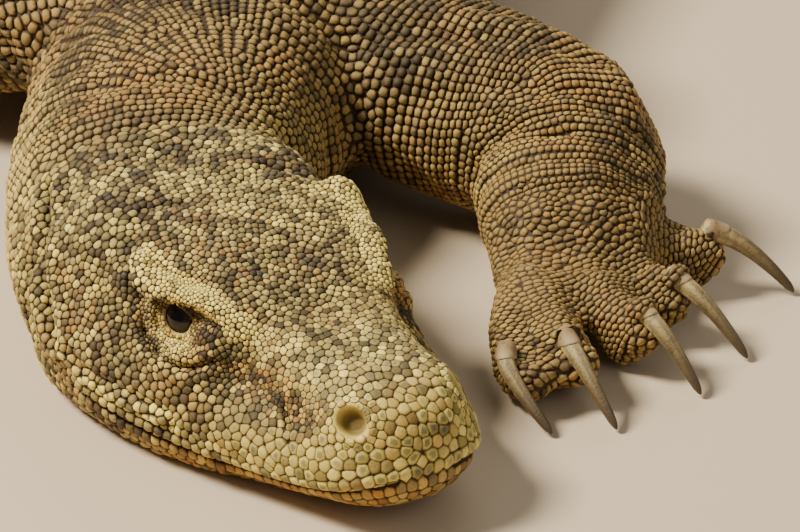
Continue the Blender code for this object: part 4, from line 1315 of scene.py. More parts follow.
def bake_map(obj: bpy.types.Object, anatomy: Anatomy, points: Array) -> None:
    """Gives a smooth surface its OFBake map.

    Args:
        obj: The surface.
        anatomy: Where the animal's lines lie.
        points: Its vertices.
    """
    flat_map = FlatMap(anatomy)
    mesh = obj.data
    corners = read_mesh(mesh.loops, "vertex_index", np.int32)
    start = read_mesh(mesh.polygons, "loop_start", np.int32)
    total = read_mesh(mesh.polygons, "loop_total", np.int32)
    strip = flat_map.strip_of(points)
    face_strip = np.repeat(strip[corners[start]], total)
    flat = flat_map.lay(points[corners], face_strip)
    first = np.repeat(flat[start], total, axis=0)
    period = np.array([flat_map.strips[k][3] for k in face_strip])
    step = flat[:, 1] - first[:, 1]
    flat[:, 1] -= np.round(step / period) * period
    layer = mesh.uv_layers.new(name="OFBake")
    write_mesh(layer.data, "uv", flat)


# ------------------------------------------------------------------ scales
class Region(Enum):
    """Parts of the hide whose scales are joined in one piece."""

    SNOUT = "snout_scales"
    CROWN = "crown_scales"
    CHEEKS = "cheek_scales"
    NECK = "neck_scales"
    CHEST = "chest_scales"
    BELLY = "belly_scales"
    PELVIS = "pelvis_scales"
    TAIL = "tail_scales"
    LEFT_ARM = "left_arm_scales"
    LEFT_HAND = "left_hand_scales"
    RIGHT_ARM = "right_arm_scales"
    LEFT_LEG = "left_leg_scales"
    RIGHT_LEG = "right_leg_scales"


@dataclass(frozen=True)
class Profile:
    """The cross-section of a scale.

    Attributes:
        corners: Vertices round its rim.
        rings: Share of its radius and of its height at each ring, from the rim inwards.
        rise: Height of its dome as a share of its width.
        square: How sharply its corners turn.
    """

    corners: int
    rings: tuple[tuple[float, float], ...]
    rise: float
    square: float


PLATE = Profile(12, ((0.92, 0.50), (0.72, 0.90), (0.40, 1.0)), 0.19, 26.0)
TILE = Profile(10, ((0.88, 0.50), (0.56, 0.92)), 0.33, 18.0)
BEAD = Profile(9, ((0.86, 0.52), (0.52, 0.93)), 0.33, 14.0)
GRAIN = Profile(8, ((0.74, 0.74),), 0.28, 16.0)
# Regions whose scales have a shape of their own. The others have grains.
PROFILES = {
    Region.SNOUT: PLATE,
    Region.CROWN: TILE,
    Region.CHEEKS: TILE,
    Region.NECK: BEAD,
    Region.LEFT_ARM: BEAD,
}


@dataclass
class Seeds:
    """Roots of scales.

    Attributes:
        points: Their places on the skin.
        sizes: The width each should have.
    """

    points: Array
    sizes: Array

    def only(self, which: Array) -> "Seeds":
        """Some of these seeds."""
        return Seeds(self.points[which], self.sizes[which])


@dataclass
class Ground:
    """Scales to be grown, and the skin under them.

    Attributes:
        points: Their roots.
        sizes: The width each should have.
        normals: The skin's normals there.
        along: The rows' way there.
    """

    points: Array
    sizes: Array
    normals: Array
    along: Array

    def only(self, which: Array) -> "Ground":
        """Some of these scales."""
        return Ground(self.points[which], self.sizes[which], self.normals[which], self.along[which])


class Sieve:
    """Keeps seeds that aren't too near those already kept."""

    CELL = 0.009

    def __init__(self) -> None:
        """Starts empty."""
        self.cells: dict[tuple[int, int, int], list[tuple[float, float, float, float]]] = {}
        self.kept: list[tuple[float, float, float, float]] = []

    def offer(self, points: Array, sizes: Array, spacing: float) -> Array:
        """Keeps each seed in turn if there is room for it.

        Args:
            points: Places of the seeds.
            sizes: Their widths.
            spacing: Least distance as a share of the two widths' mean.

        Returns:
            Which were kept.
        """
        taken = np.zeros(len(points), bool)
        for i, (x, y, z, size) in enumerate(np.column_stack([points, sizes]).tolist()):
            cx, cy, cz = int(x // self.CELL), int(y // self.CELL), int(z // self.CELL)
            room = True
            for key in ((cx + a, cy + b, cz + c) for a in (-1, 0, 1) for b in (-1, 0, 1) for c in (-1, 0, 1)):
                for px, py, pz, ps in self.cells.get(key, ()):
                    reach = spacing * (size + ps) / 2
                    if (px - x) ** 2 + (py - y) ** 2 + (pz - z) ** 2 < reach * reach:
                        room = False
                        break
                if not room:
                    break
            if room:
                self.cells.setdefault((cx, cy, cz), []).append((x, y, z, size))
                self.kept.append((x, y, z, size))
                taken[i] = True
        return taken


@dataclass
class Coat:
    """Every scale of the hide, from the lips to the tip of the tail.

    Attributes:
        anatomy: Where the animal's lines lie.
        markings_and_shade: Masks the scales carry.
        skin: The skin they lie on.
        overlap: How far each scale runs on under its neighbours, as a share of its own ground.
        sunk: How far their rims go under the skin.
    """

    anatomy: Anatomy
    markings_and_shade: MarkingsAndShade
    skin: Skin
    overlap: float = 1.11
    sunk: float = 0.0004
    pieces: list[bpy.types.Object] = field(default_factory=list)

    # Row pitch along the body at distances from the snout.
    TRUNK_PITCH = (
        (0.20, 0.0042), (0.30, 0.0047), (0.40, 0.0056), (0.60, 0.0078), (1.05, 0.0080), (1.40, 0.0072),
        (2.00, 0.0062), (2.50, 0.0046),
    )
    # Row pitch along a limb at shares of its length.
    LIMB_PITCH = ((0.0, 0.0052), (0.35, 0.0046), (0.60, 0.0040), (0.80, 0.0034), (1.0, 0.0030))
    # How much coarser the scales of each leg are than the left hand's.
    COARSER = {"left_fore": 1.0, "right_fore": 1.2, "left_hind": 1.5, "right_hind": 1.5}
    # Width of the bands across the hand and digits, from the wrist to the claws.
    BANDS = ((0.0, 0.0029), (0.45, 0.0026), (1.0, 0.0023))
    # The neck's rows fan out round this place, from behind the snout and to its left, in degrees.
    FAN_PIVOT = (0.205, 0.046)
    FAN = (-8.0, 100.0)
    FAN_PITCH = 0.0046
    FAN_REACH = 0.090
    FAN_BEAD = 0.0033
    # Height and distance from the pivot of the line that the fan's rows look out from.
    FAN_HEIGHT, FAN_OUT = 0.052, 0.058
    # Where the regions of the trunk end, from the snout, the last one first.
    TRUNK_ENDS = {Region.PELVIS: 1.13, Region.BELLY: 0.90, Region.CHEST: 0.56, Region.NECK: 0.36}
    # How many random places are tried: over the hide, over the head, and in each round that evens it out.
    TRIED, TRIED_ON_HEAD, TRIED_IN_ROUND = 190000, 76000, 100000
    ROUNDS = 3
    # Least distance of seeds as a share of their widths, for each way they are laid.
    ROOM = {"rings": 0.72, "head": 0.3, "rows": 0.70, "sprinkled": 0.80}
    # Angle of each ring round an eye from the gaze, in degrees, and its pitch.
    LID_RINGS = ((51, 0.0013), (59, 0.0015), (68, 0.0017), (79, 0.0018))
    # Pitch of the rows above and below the mouth, their distance from it, and where they end.
    LIP_PITCH = {1.0: 0.0050, -1.0: 0.0046}
    LIP_OFF, LIP_END = 0.0034, 0.152
    # The rows at the front of the mouth fan out from this far behind the snout.
    LIP_PIVOT = 0.040
    # Where the trunk's rows start and end, and the distance between rows as a share of their pitch.
    TRUNK_ROWS = (0.190, 2.494)
    TRUNK_STEP, LIMB_STEP, BAND_STEP = 0.93, 0.92, 0.97
    # Bare ground round an eye, on each side of the mouth, and round the root of a claw.
    OFF_EYE, OFF_MOUTH, OFF_CLAW = 0.0009, 0.0006, 0.0058
    # How much the tones of neighbouring scales differ on the hand and the body, against the head's.
    HAND_CONTRAST, BODY_CONTRAST = 0.45, 0.70

    @cached_property
    def flat_map(self) -> FlatMap:
        """The flat plan of the hide."""
        return FlatMap(self.anatomy)

    def build(self) -> None:
        """Seeds the scales and grows them."""
        rng = np.random.default_rng(7)
        surface = Surface.of(self.skin.obj)
        seeds = self._seed(surface, rng)
        log.info("%d scales", len(seeds.points))
        points, normals, _ = surface.drop(seeds.points)
        self._grow(surface, Seeds(points, seeds.sizes), normals, rng)

    # -- seeds
    def _seed(self, surface: Surface, rng: Chance) -> Seeds:
        """Roots for all scales, rows first and then whatever fills the gaps."""
        sieve = Sieve()
        fixed = [*self._lid_rings(surface), self._lip_row(surface, 1.0), self._lip_row(surface, -1.0)]
        for seeds in fixed:
            sieve.offer(seeds.points, seeds.sizes, self.ROOM["rings"])
        firm = len(sieve.kept)
        self._fill_head(surface, sieve, rng)
        head = self._relax(surface, np.array(sieve.kept), firm, rng)
        sieve = Sieve()
        sieve.offer(head[:, :3], head[:, 3], self.ROOM["head"])
        for seeds in self._rows(surface):
            sieve.offer(seeds.points, seeds.sizes, self.ROOM["rows"])
        centres = surface.points[surface.faces].mean(1)
        wanted = self._sizes(centres)
        spots, face = surface.sprinkle(self.TRIED, rng, 1 / wanted**2)
        sizes = wanted[face]
        clear = self._open_ground(spots)
        sieve.offer(spots[clear], sizes[clear], self.ROOM["sprinkled"])
        kept = np.array(sieve.kept)
        return Seeds(kept[:, :3], kept[:, 3])

    def _sizes(self, points: Array) -> Array:
        """Width that a scale should have at each place."""
        s, _, _ = self.anatomy.backbone.nearest(points)
        size = through(self.TRUNK_PITCH, s)[:, 0]
        for name, line in self.anatomy.limbs.items():
            near = np.nonzero(length(points - line.points[60]) < 0.32)[0]
            along, away, index = line.nearest(points[near])
            ratio = away / line.radii[index]
            mine = smoothstep(1.6, 1.15, ratio) * smoothstep(0.1, 0.3, along / line.lengths[-1])
            share = self.COARSER[name]
            pitch = through(self.LIMB_PITCH, along / line.lengths[-1])[:, 0] * share
            size[near] = size[near] * (1 - mine) + pitch * mine
            band = self.BANDS[1][1] * share * 1.36
            for digit in range(1, 6):
                ray = self.anatomy.rays[(name, digit)]
                reach, away, _ = ray.nearest(points[near])
                on_hand = (away < 0.024 * FEET[name].scale) & (reach > 0.012)
                size[near[on_hand]] = band
        head = (1 - smoothstep(0.196, 0.212, s)) * ~self.anatomy.beside_head(points)
        return size * (1 - head) + self._head_sizes(points) * head

    def _head_sizes(self, points: Array) -> Array:
        """Width that a scale should have on the head."""
        marks = self.markings_and_shade
        h = marks.mirrored(points)
        u, w = h[:, 0], h[:, 2]
        high = smoothstep(0.036, 0.054, w)
        size = 0.0047 - 0.0011 * high * smoothstep(0.010, 0.045, u) - 0.0010 * smoothstep(0.030, 0.085, u)
        size = np.maximum(size, 0.0030 + 0.0004 * smoothstep(0.14, 0.19, u))
        size = size + (0.0021 - size) * bell(marks.away_from(h, marks.CANTHUS), 0.0085)
        size = size + (0.0040 - size) * bell(marks.away_from_spot(h, marks.TEMPLE), 0.012)
        size = size + (0.0020 - size) * bell(marks.away_from(h, marks.BROW), 0.007)
        eye = marks.away_from_spot(h, marks.eye_place)
        size = size + (0.0015 - size) * (1 - smoothstep(0.0165, 0.0240, eye))
        nose = marks.nostril_oval(h)
        size = size + (0.0028 - size) * (1 - smoothstep(1.5, 2.3, nose))
        throat = 1 - smoothstep(0.002, 0.010, w)
        return size + (0.0050 - size) * throat

    def _open_ground(self, points: Array) -> Array:
        """Where scales may grow: not on the eyes, in the nostrils or in the mouth's slit."""
        h = self.markings_and_shade.mirrored(points)
        clear = np.ones(len(points), bool)
        radius = self.anatomy.head.eye_radius
        for centre in self.anatomy.head.eyes:
            clear &= length(points - centre) > radius + self.OFF_EYE
        clear &= self.markings_and_shade.nostril_oval(h) > self.markings_and_shade.nostril_rim(h)
        off_mouth = np.abs(h[:, 2] - mouth_height(h[:, 0])) > self.OFF_MOUTH
        clear &= off_mouth | (h[:, 0] > 0.156) | self.anatomy.beside_head(points)
        for digit in self.anatomy.digits:
            clear &= length(points - digit.root) > self.OFF_CLAW * digit.scale
        return clear

    def _lid_rings(self, surface: Surface) -> list[Seeds]:
        """Small scales in rings round the eyes."""
        found = []
        radius = self.anatomy.head.eye_radius + self.skin.lid
        for centre, side in zip(self.anatomy.head.eyes, (1.0, -1.0)):
            gaze, across, up = self.skin.gaze(side)
            for k, (angle, pitch) in enumerate(self.LID_RINGS):
                psi = math.radians(angle)
                count = int(TURN * radius * math.sin(min(psi, math.pi / 2)) / pitch)
                turn = (np.arange(count) + 0.5 * (k % 2)) / count * TURN
                ring = across * np.cos(turn)[:, None] + up * np.sin(turn)[:, None]
                places = centre + radius * (gaze * math.cos(psi) + ring * math.sin(psi))
                places, _, _ = surface.drop(places)
                found.append(Seeds(places, np.full(count, pitch)))
        return found

    def _lip_row(self, surface: Surface, side: float) -> Seeds:
        """Squarish scales in a row along the mouth.

        Args:
            surface: The skin.
            side: 1 for the row above the mouth, -1 for the row below.

        Returns:
            The seeds.
        """
        head = self.anatomy.head
        off = self.LIP_OFF * side
        path = []
        for angle in np.radians(np.linspace(-90, 90, 61)):
            u = 0.002
            for _ in range(2):
                start = head.place(self.LIP_PIVOT, 0.0, float(mouth_height(u)[0]) + off)
                way = -head.back * math.cos(angle) + head.left * math.sin(angle)
                hit = surface.tree.ray_cast(Vector(start), Vector(way))[0]
                if hit is None:
                    break
                u = float(head.read(np.array([tuple(hit)]))[0, 0])
            if hit is not None:
                path.append(np.array(hit))
        behind = np.arange(self.LIP_PIVOT + 0.003, self.LIP_END, 0.003)
        for k, u in [(0, u) for u in behind] + [(1, u) for u in behind]:
            start = head.place(u, 0.0, float(mouth_height(u)[0]) + off)
            hit = surface.tree.ray_cast(Vector(start), Vector(head.left * (1 if k else -1)))[0]
            if hit is not None:
                path.insert(0, np.array(hit)) if k == 0 else path.append(np.array(hit))
        return self._spread(np.array(path), self.LIP_PITCH[side], 0.0, False)

    @staticmethod
    def _spread(path: Array, pitch: float, shift: float, closed: bool) -> Seeds:
        """Seeds at even distances along a path.

        Args:
            path: Points of the path.
            pitch: Distance between seeds.
            shift: Share of the pitch that the first is moved by.
            closed: Whether the path is a loop.

        Returns:
            The seeds.
        """
        if closed:
            path = np.vstack([path, path[:1]])
        steps = np.concatenate([[0.0], np.cumsum(length(np.diff(path, axis=0)))])
        count = max(int(round(steps[-1] / pitch)), 3)
        at = (np.arange(count) + shift) / count * steps[-1]
        places = np.stack([np.interp(at, steps, path[:, k]) for k in range(3)], 1)
        return Seeds(places, np.full(count, pitch))

    def _fill_head(self, surface: Surface, sieve: Sieve, rng: Chance) -> None:
        """Fills the head with scales of their local sizes."""
        centres = surface.points[surface.faces].mean(1)
        on_head = (self.anatomy.past_nape(centres) < 0) & ~self.anatomy.beside_head(centres)
        weight = np.zeros(len(centres))
        weight[on_head] = 1 / self._sizes(centres[on_head]) ** 2
        spots, _ = surface.sprinkle(self.TRIED_ON_HEAD, rng, weight)
        spots = spots[self._open_ground(spots)]
        sieve.offer(spots, self._sizes(spots), self.ROOM["sprinkled"])

    def _relax(self, surface: Surface, seeds: Array, firm: int, rng: Chance) -> Array:
        """Evens out seeds by moving each to the middle of its own ground.

        Args:
            surface: The skin.
            seeds: Places and widths.
            firm: How many at the start stay put.
            rng: Source of chance.

        Returns:
            The moved seeds.
        """
        centres = surface.points[surface.faces].mean(1)
        tree = kd_tree(seeds[:, :3])
        close = np.nonzero(length(centres - seeds[:, :3].mean(0)) < 0.25)[0]
        near = close[np.array([tree.find(p)[2] for p in centres[close].tolist()]) < 0.006]
        weight = np.zeros(len(centres))
        weight[near] = 1 / self._sizes(centres[near]) ** 2
        for _ in range(self.ROUNDS):
            spots, _ = surface.sprinkle(self.TRIED_IN_ROUND, rng, weight)
            tree = kd_tree(seeds[:, :3])
            owner = np.array([tree.find(p)[1] for p in spots.tolist()])
            count = np.bincount(owner, minlength=len(seeds))
            middle = np.stack([np.bincount(owner, spots[:, k], len(seeds)) for k in range(3)], 1)
            middle = middle / count.clip(1)[:, None]
            move = (count > 3) & (np.arange(len(seeds)) >= firm)
            target, _, _ = surface.drop(middle[move])
            seeds[move, :3] = target
        return seeds

    def _rows(self, surface: Surface) -> list[Seeds]:
        """Rows of scales across the neck, trunk, tail, limbs and digits."""
        rows = self._fan_rows(surface)
        backbone = self.anatomy.backbone
        s, end = self.TRUNK_ROWS
        number = 0
        while s < end:
            pitch = float(through(self.TRUNK_PITCH, s)[0, 0])
            ring = self._ring(surface, backbone, s, pitch)
            if ring is not None:
                row = self._spread(ring, pitch * 0.98, 0.5 * (number % 2), True)
                mine = (self.flat_map.strip_of(row.points) == 0) & (self.anatomy.past_nape(row.points) > 0)
                rows.append(row.only(mine))
            s += pitch * self.TRUNK_STEP
            number += 1
        for k, (name, line) in enumerate(self.anatomy.limbs.items()):
            share = self.COARSER[name]
            along = 0.02
            while along < line.lengths[-1] + 0.006:
                pitch = float(through(self.LIMB_PITCH, along / line.lengths[-1])[0, 0]) * share
                ring = self._ring(surface, line, along, pitch)
                if ring is not None:
                    row = self._spread(ring, pitch * 1.05, 0.5 * (number % 2), True)
                    mine = self.flat_map.strip_of(row.points) == k + 1
                    rows.append(Seeds(row.points[mine], np.full(mine.sum(), pitch)))
                along += pitch * self.LIMB_STEP
                number += 1
        return rows + self._bands(surface)

    def _bands(self, surface: Surface) -> list[Seeds]:
        """Bands of wide scales across the hands, feet and digits."""
        rows = []
        for (name, digit), line in self.anatomy.rays.items():
            scale, share = FEET[name].scale, self.COARSER[name]
            along = line.lengths[-1] - 0.001
            number = 0
            while along > 0.014:
                band = float(through(self.BANDS, along / line.lengths[-1])[0, 0]) * share
                ring = self._ring(surface, line, along, band * 1.3)
                if ring is not None:
                    row = self._spread(ring, band * 1.75, 0.5 * (number % 2), True)
                    away = {d: self.anatomy.rays[(name, d)].nearest(row.points)[1] for d in range(1, 6)}
                    nearest = np.min(list(away.values()), axis=0)
                    mine = (away[digit] <= nearest + 1e-6) & (away[digit] < 0.026 * scale)
                    mine &= self._open_ground(row.points)
                    rows.append(Seeds(row.points[mine], np.full(mine.sum(), band)))
                along -= band * self.BAND_STEP
                number += 1
        return rows

    def _fan_rows(self, surface: Surface) -> list[Seeds]:
        """Rows over the bent neck, which fan out round the inside of the bend."""
        pivot = self.anatomy.head.place(*self.FAN_PIVOT, 0.0)
        degrees = np.arange(*self.FAN, math.degrees(self.FAN_PITCH / self.FAN_REACH))
        turn = np.radians(180.0 - degrees)
        ways = np.column_stack([np.cos(turn), np.sin(turn), np.zeros(len(turn))])
        points = pivot + ways * self.FAN_OUT
        points[:, 2] = self.FAN_HEIGHT
        line = Line(points, np.full(len(points), 0.07))
        rows = []
        for number, along in enumerate(line.lengths):
            ring = self._ring(surface, line, along, self.FAN_BEAD)
            if ring is None:
                continue
            flat = (ring - pivot)[:, :2]
            reach = length(flat)
            inner = 0.070 if number % 2 else (0.045 if number % 4 else 0.028)
            near = (reach < 0.17) & (reach > inner) & (flat @ ways[number, :2] > 0)
            for run in self._runs(ring, near):
                row = self._spread(run, self.FAN_BEAD, 0.5 * (number % 2), False)
                past = self.anatomy.past_nape(row.points)
                mine = (past > 0) & (past < 0.20) & (self.flat_map.strip_of(row.points) == 0)
                wide = length((row.points - pivot)[:, :2]) / self.FAN_REACH
                rows.append(Seeds(row.points[mine], self.FAN_BEAD * np.clip(wide[mine], 1.0, 1.5)))
        return rows

    @staticmethod
    def _runs(path: Array, keep: Array, leap: float = 0.012) -> list[Array]:
        """The stretches of a path whose points are kept and lie close together."""
        runs, run = [], []
        for point, wanted in zip(path, keep):
            if run and (not wanted or np.linalg.norm(point - run[-1]) > leap):
                runs.append(np.array(run))
                run = []
            if wanted:
                run.append(point)
        runs.append(np.array(run))
        return [r for r in runs if len(r) > 6]

    def _ring(self, surface: Surface, line: Line, along: float, pitch: float) -> Array | None:
        """The skin's outline round a line.

        Args:
            surface: The skin.
            line: The line to look out from.
            along: Distance along it.
            pitch: Distance between seeds, which sets how fine the outline is.

        Returns:
            Points in order round the line, or None where there is no skin.
        """
        lengths = line.lengths
        centre = np.array([np.interp(along, lengths, line.points[:, k]) for k in range(3)])
        way = unit(np.array([np.interp(along, lengths, line.ways[:, k]) for k in range(3)]))
        side = unit(np.cross(UP, way))
        up = np.cross(way, side)
        radius = float(np.interp(along, lengths, line.radii))
        count = int(TURN * radius * 1.4 / pitch * 2) + 16
        turn = np.arange(count) / count * TURN
        ways = side * np.sin(turn)[:, None] - up * np.cos(turn)[:, None]
        hits = [surface.tree.ray_cast(Vector(centre), Vector(w))[0] for w in ways.tolist()]
        hits = [tuple(h) for h in hits if h is not None]
        return np.array(hits) if len(hits) > count * 0.6 else None

    # -- growth
    def _grow(self, surface: Surface, seeds: Seeds, normals: Array, rng: Chance) -> None:
        """Builds every scale and joins those of a region."""
        keep = self._open_ground(seeds.points)
        points, normals = seeds.points[keep], normals[keep]
        ground = Ground(points, seeds.sizes[keep], normals, self._along(points, normals))
        region = self._regions(points)
        neighbours = self._neighbours(points)
        masks = self.markings_and_shade.read(points)
        flat = self.flat_map.lay(points, self.flat_map.strip_of(points))
        tone, tint = rng.random(len(points)), rng.random(len(points))
        calm = np.where(self.anatomy.past_nape(points) > 0.0, self.BODY_CONTRAST, 1.0)
        calm = np.where(region == Region.LEFT_HAND, self.HAND_CONTRAST, calm)
        masks = {"tone": 0.5 + (tone - 0.5) * calm, "tint": tint, **masks}
        for part in Region:
            mine = np.nonzero(region == part)[0]
            if not len(mine):
                continue
            profile = PROFILES.get(part, GRAIN)
            radii, angles = self._outlines(ground, neighbours, mine, profile, rng)
            verts, faces, rim, reach = self._domes(surface, ground.only(mine), radii, angles, profile, rng)
            verts[:, 2] = np.maximum(verts[:, 2], FLOOR)
            obj = mesh_object(part.value, verts, faces)
            per = len(verts) // len(mine)
            set_attribute(obj, "rim", rim)
            for name, values in masks.items():
                set_attribute(obj, name, np.repeat(values[mine], per))
            self._patch_map(obj, flat[mine], reach, per)
            smooth(obj)
            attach(obj, BODY)
            self.pieces.append(obj)
            log.info("%s: %d scales, %d triangles", part.value, len(mine), len(faces))

    def _along(self, points: Array, normals: Array) -> Array:
        """The way rows are counted at each place, in the plane of the skin."""
        strip = self.flat_map.strip_of(points)
        way = np.zeros_like(points)
        for k, line in enumerate(self.flat_map.lines):
            mine = strip == k
            _, _, index = line.nearest(points[mine])
            way[mine] = line.ways[index]
        for ray in self.anatomy.rays.values():
            _, away, index = ray.nearest(points)
            mine = (away < 0.022) & (index > 6)
            way[mine] = ray.ways[index[mine]]
        pivot = self.anatomy.head.place(*self.FAN_PIVOT, 0.0)
        fan = (strip == 0) & (points[:, 1] < pivot[1] + 0.16) & (np.abs(points - pivot)[:, 0] < 0.16)
        s, _, _ = self.anatomy.backbone.nearest(points)
        fan &= (s > 0.207) & ((points - pivot)[:, 0] < 0.02)
        way[fan] = np.cross(UP, (points - pivot)[fan] * np.array([1.0, 1.0, 0.0]))
        way = unit(way)
        way = way - normals * dot(way, normals)[:, None]
        weak = length(way) < 0.2
        way[weak] = np.cross(normals[weak], np.array([0.36, 0.48, 0.8]))
        return unit(way)

    def _regions(self, points: Array) -> Array:
        """Each scale's region."""
        s, _, _ = self.anatomy.backbone.nearest(points)
        h = self.anatomy.head.read(points)
        strip = self.flat_map.strip_of(points)
        region = np.full(len(points), Region.TAIL, dtype=object)
        for part, end in self.TRUNK_ENDS.items():
            region[s < end] = part
        head = (s < Anatomy.NAPE) & ~self.anatomy.beside_head(points)
        region[head] = Region.CROWN
        region[head & (h[:, 2] < 0.052)] = Region.CHEEKS
        region[head & (h[:, 0] < 0.080)] = Region.SNOUT
        for k, part in enumerate((Region.LEFT_ARM, Region.RIGHT_ARM, Region.LEFT_LEG, Region.RIGHT_LEG)):
            region[(strip == k + 1) & ~head] = part
        wrist = self.anatomy.at_limb(LIMB_JOINTS["left_fore"][3])
        region[(region == Region.LEFT_ARM) & (points[:, 1] < wrist[1] + 0.012)] = Region.LEFT_HAND
        return region

    @staticmethod
    def _neighbours(points: Array, count: int = 12) -> Array:
        """Indices of the nearest other seeds of each seed."""
        tree = kd_tree(points)
        return np.array([[found[1] for found in tree.find_n(p, count + 1)[1:]] for p in points.tolist()])

    def _outlines(
        self, ground: Ground, neighbours: Array, mine: Array, profile: Profile, rng: Chance
    ) -> tuple[Array, Array]:
        """How far each scale reaches in every direction before it meets its neighbours.

        Args:
            ground: All scales.
            neighbours: Indices of each scale's neighbours.
            mine: Which scales to work out.
            profile: Their cross-section.
            rng: Source of chance.

        Returns:
            Radii and angles, one row for each scale.
        """
        own, theirs = ground.only(mine), neighbours[mine]
        d = ground.points[theirs] - own.points[:, None]
        across = np.cross(own.normals, own.along)
        x = np.einsum("ijk,ik->ij", d, own.along)
        y = np.einsum("ijk,ik->ij", d, across)
        full = length(d)
        flat = np.sqrt(x * x + y * y) + 1e-9
        x, y = x / flat * full, y / flat * full
        facing = np.einsum("ijk,ik->ij", ground.normals[theirs], own.normals)
        power = full**2 + (own.sizes[:, None] / 2) ** 2 - (ground.sizes[theirs] / 2) ** 2
        start = rng.random(len(mine))[:, None] * TURN
        angles = start + np.arange(profile.corners)[None] / profile.corners * TURN
        towards = x[:, :, None] * np.cos(angles)[:, None] + y[:, :, None] * np.sin(angles)[:, None]
        reach = power[:, :, None] / (2 * np.maximum(towards, 1e-7))
        s, _, _ = self.anatomy.backbone.nearest(own.points)
        rowed = np.maximum(smoothstep(0.196, 0.222, s), self.anatomy.beside_head(own.points))
        far = (own.sizes * (0.80 + 0.36 * rowed))[:, None, None]
        reach = np.where((towards > 1e-6) & (facing[:, :, None] > 0.1), np.maximum(reach, 0.0003), far)
        reach = np.minimum(reach, far * 3)
        radii = (np.sum(reach ** -profile.square, axis=1)) ** (-1 / profile.square)
        radii = np.minimum(radii, far[:, 0] * 1.1)
        hand = smoothstep(0.030, 0.020, np.min(self.markings_and_shade.from_hand(own.points), axis=0))[:, None]
        short = 0.20 * rowed[:, None] + 0.08 * hand
        squeeze = 1 - short * np.cos(angles) ** 2 + 0.14 * hand * np.sin(angles) ** 2
        return np.maximum(radii * self.overlap * squeeze, 0.0004), angles

    def _domes(
        self, surface: Surface, own: Ground, radii: Array, angles: Array, profile: Profile, rng: Chance
    ) -> tuple[Array, Array, Array, Array]:
        """Vertices and faces of domed scales.

        Args:
            surface: The skin, which the rims follow.
            own: The scales.
            radii: Reach of each in every direction.
            angles: Those directions.
            profile: The cross-section.
            rng: Source of chance.

        Returns:
            Vertices, triangles, nearness to the rim, and each vertex's place on its patch.
        """
        n, k = radii.shape
        points, normals = own.points, own.normals
        across = np.cross(normals, own.along)
        ways = own.along[:, None] * np.cos(angles)[..., None] + across[:, None] * np.sin(angles)[..., None]
        spots = points[:, None] + ways * radii[..., None]
        rim, rim_normals, _ = surface.drop(spots.reshape(-1, 3))
        rim, rim_normals = rim.reshape(n, k, 3), rim_normals.reshape(n, k, 3)
        width = np.minimum(radii.mean(1) * 2, own.sizes * 1.3)
        rise = profile.rise * width * (0.82 + 0.36 * rng.random(n))
        rings = [rim - rim_normals * self.sunk]
        nearness = [np.ones((n, k))]
        shares = [1.0]
        for share, height in profile.rings:
            base = points[:, None] * (1 - share) + rim * share
            up = unit(normals[:, None] * (1 - share) + rim_normals * share)
            rings.append(base + up * (rise[:, None] * height)[..., None])
            nearness.append(np.full((n, k), share))
            shares.append(share)
        top = points + normals * (rise * 1.03)[:, None]
        verts = np.concatenate([np.concatenate(rings, 1), top[:, None]], 1)
        near = np.concatenate([np.concatenate(nearness, 1), np.zeros((n, 1))], 1)
        per = verts.shape[1]
        last = (len(rings) - 1) * k + np.arange(k)
        crown = np.stack([last, np.roll(last, -1), np.full(k, per - 1)], 1)
        cell = np.vstack([*tube_walls(k, len(rings)), crown])
        faces = (cell[None] + (np.arange(n) * per)[:, None, None]).reshape(-1, 3)
        flat = np.zeros((n, per, 2))
        for level, share in enumerate(shares):
            flat[:, level * k : (level + 1) * k, 0] = np.cos(angles) * share
            flat[:, level * k : (level + 1) * k, 1] = np.sin(angles) * share
        return verts.reshape(-1, 3), faces, near.reshape(-1), flat.reshape(-1, 2)

    @staticmethod
    def _patch_map(obj: bpy.types.Object, roots: Array, reach: Array, per: int) -> None:
        """Gives each scale a small patch of the OFBake map at its root."""
        corners = read_mesh(obj.data.loops, "vertex_index", np.int32)
        place = np.repeat(roots, per, axis=0) + reach * FlatMap.PATCH / 2
        layer = obj.data.uv_layers.new(name="OFBake")
        write_mesh(layer.data, "uv", place[corners])


# ------------------------------------------------------------------ shader graphs
Colour = tuple[float, float, float]


@dataclass
class Signal:
    """An output of a shader graph that can be used in Python expressions.

    Attributes:
        graph: The graph it belongs to.
        socket: The output socket.
    """

    graph: "Graph"
    socket: bpy.types.NodeSocket

    def _maths(self, operation: str, first: "Signal | float", second: "Signal | float") -> "Signal":
        """A Math node on two values."""
        return self.graph.node("ShaderNodeMath", {"operation": operation}, {0: first, 1: second})

    def __add__(self, other: "Signal | float") -> "Signal":
        """Sum."""
        return self._maths("ADD", self, other)

    def __radd__(self, other: "Signal | float") -> "Signal":
        """Sum, with the number first."""
        return self._maths("ADD", other, self)

    def __sub__(self, other: "Signal | float") -> "Signal":
        """Difference."""
        return self._maths("SUBTRACT", self, other)

    def __rsub__(self, other: "Signal | float") -> "Signal":
        """Difference, with the number first."""
        return self._maths("SUBTRACT", other, self)

    def __mul__(self, other: "Signal | float") -> "Signal":
        """Product."""
        return self._maths("MULTIPLY", self, other)

    def __rmul__(self, other: "Signal | float") -> "Signal":
        """Product, with the number first."""
        return self._maths("MULTIPLY", other, self)

    def step(self, low: float, high: float) -> "Signal":
        """A soft step from 0 at low to 1 at high."""
        settings = {"interpolation_type": "SMOOTHSTEP"}
        inputs = {"Value": self, "From Min": low, "From Max": high}
        return self.graph.node("ShaderNodeMapRange", settings, inputs)


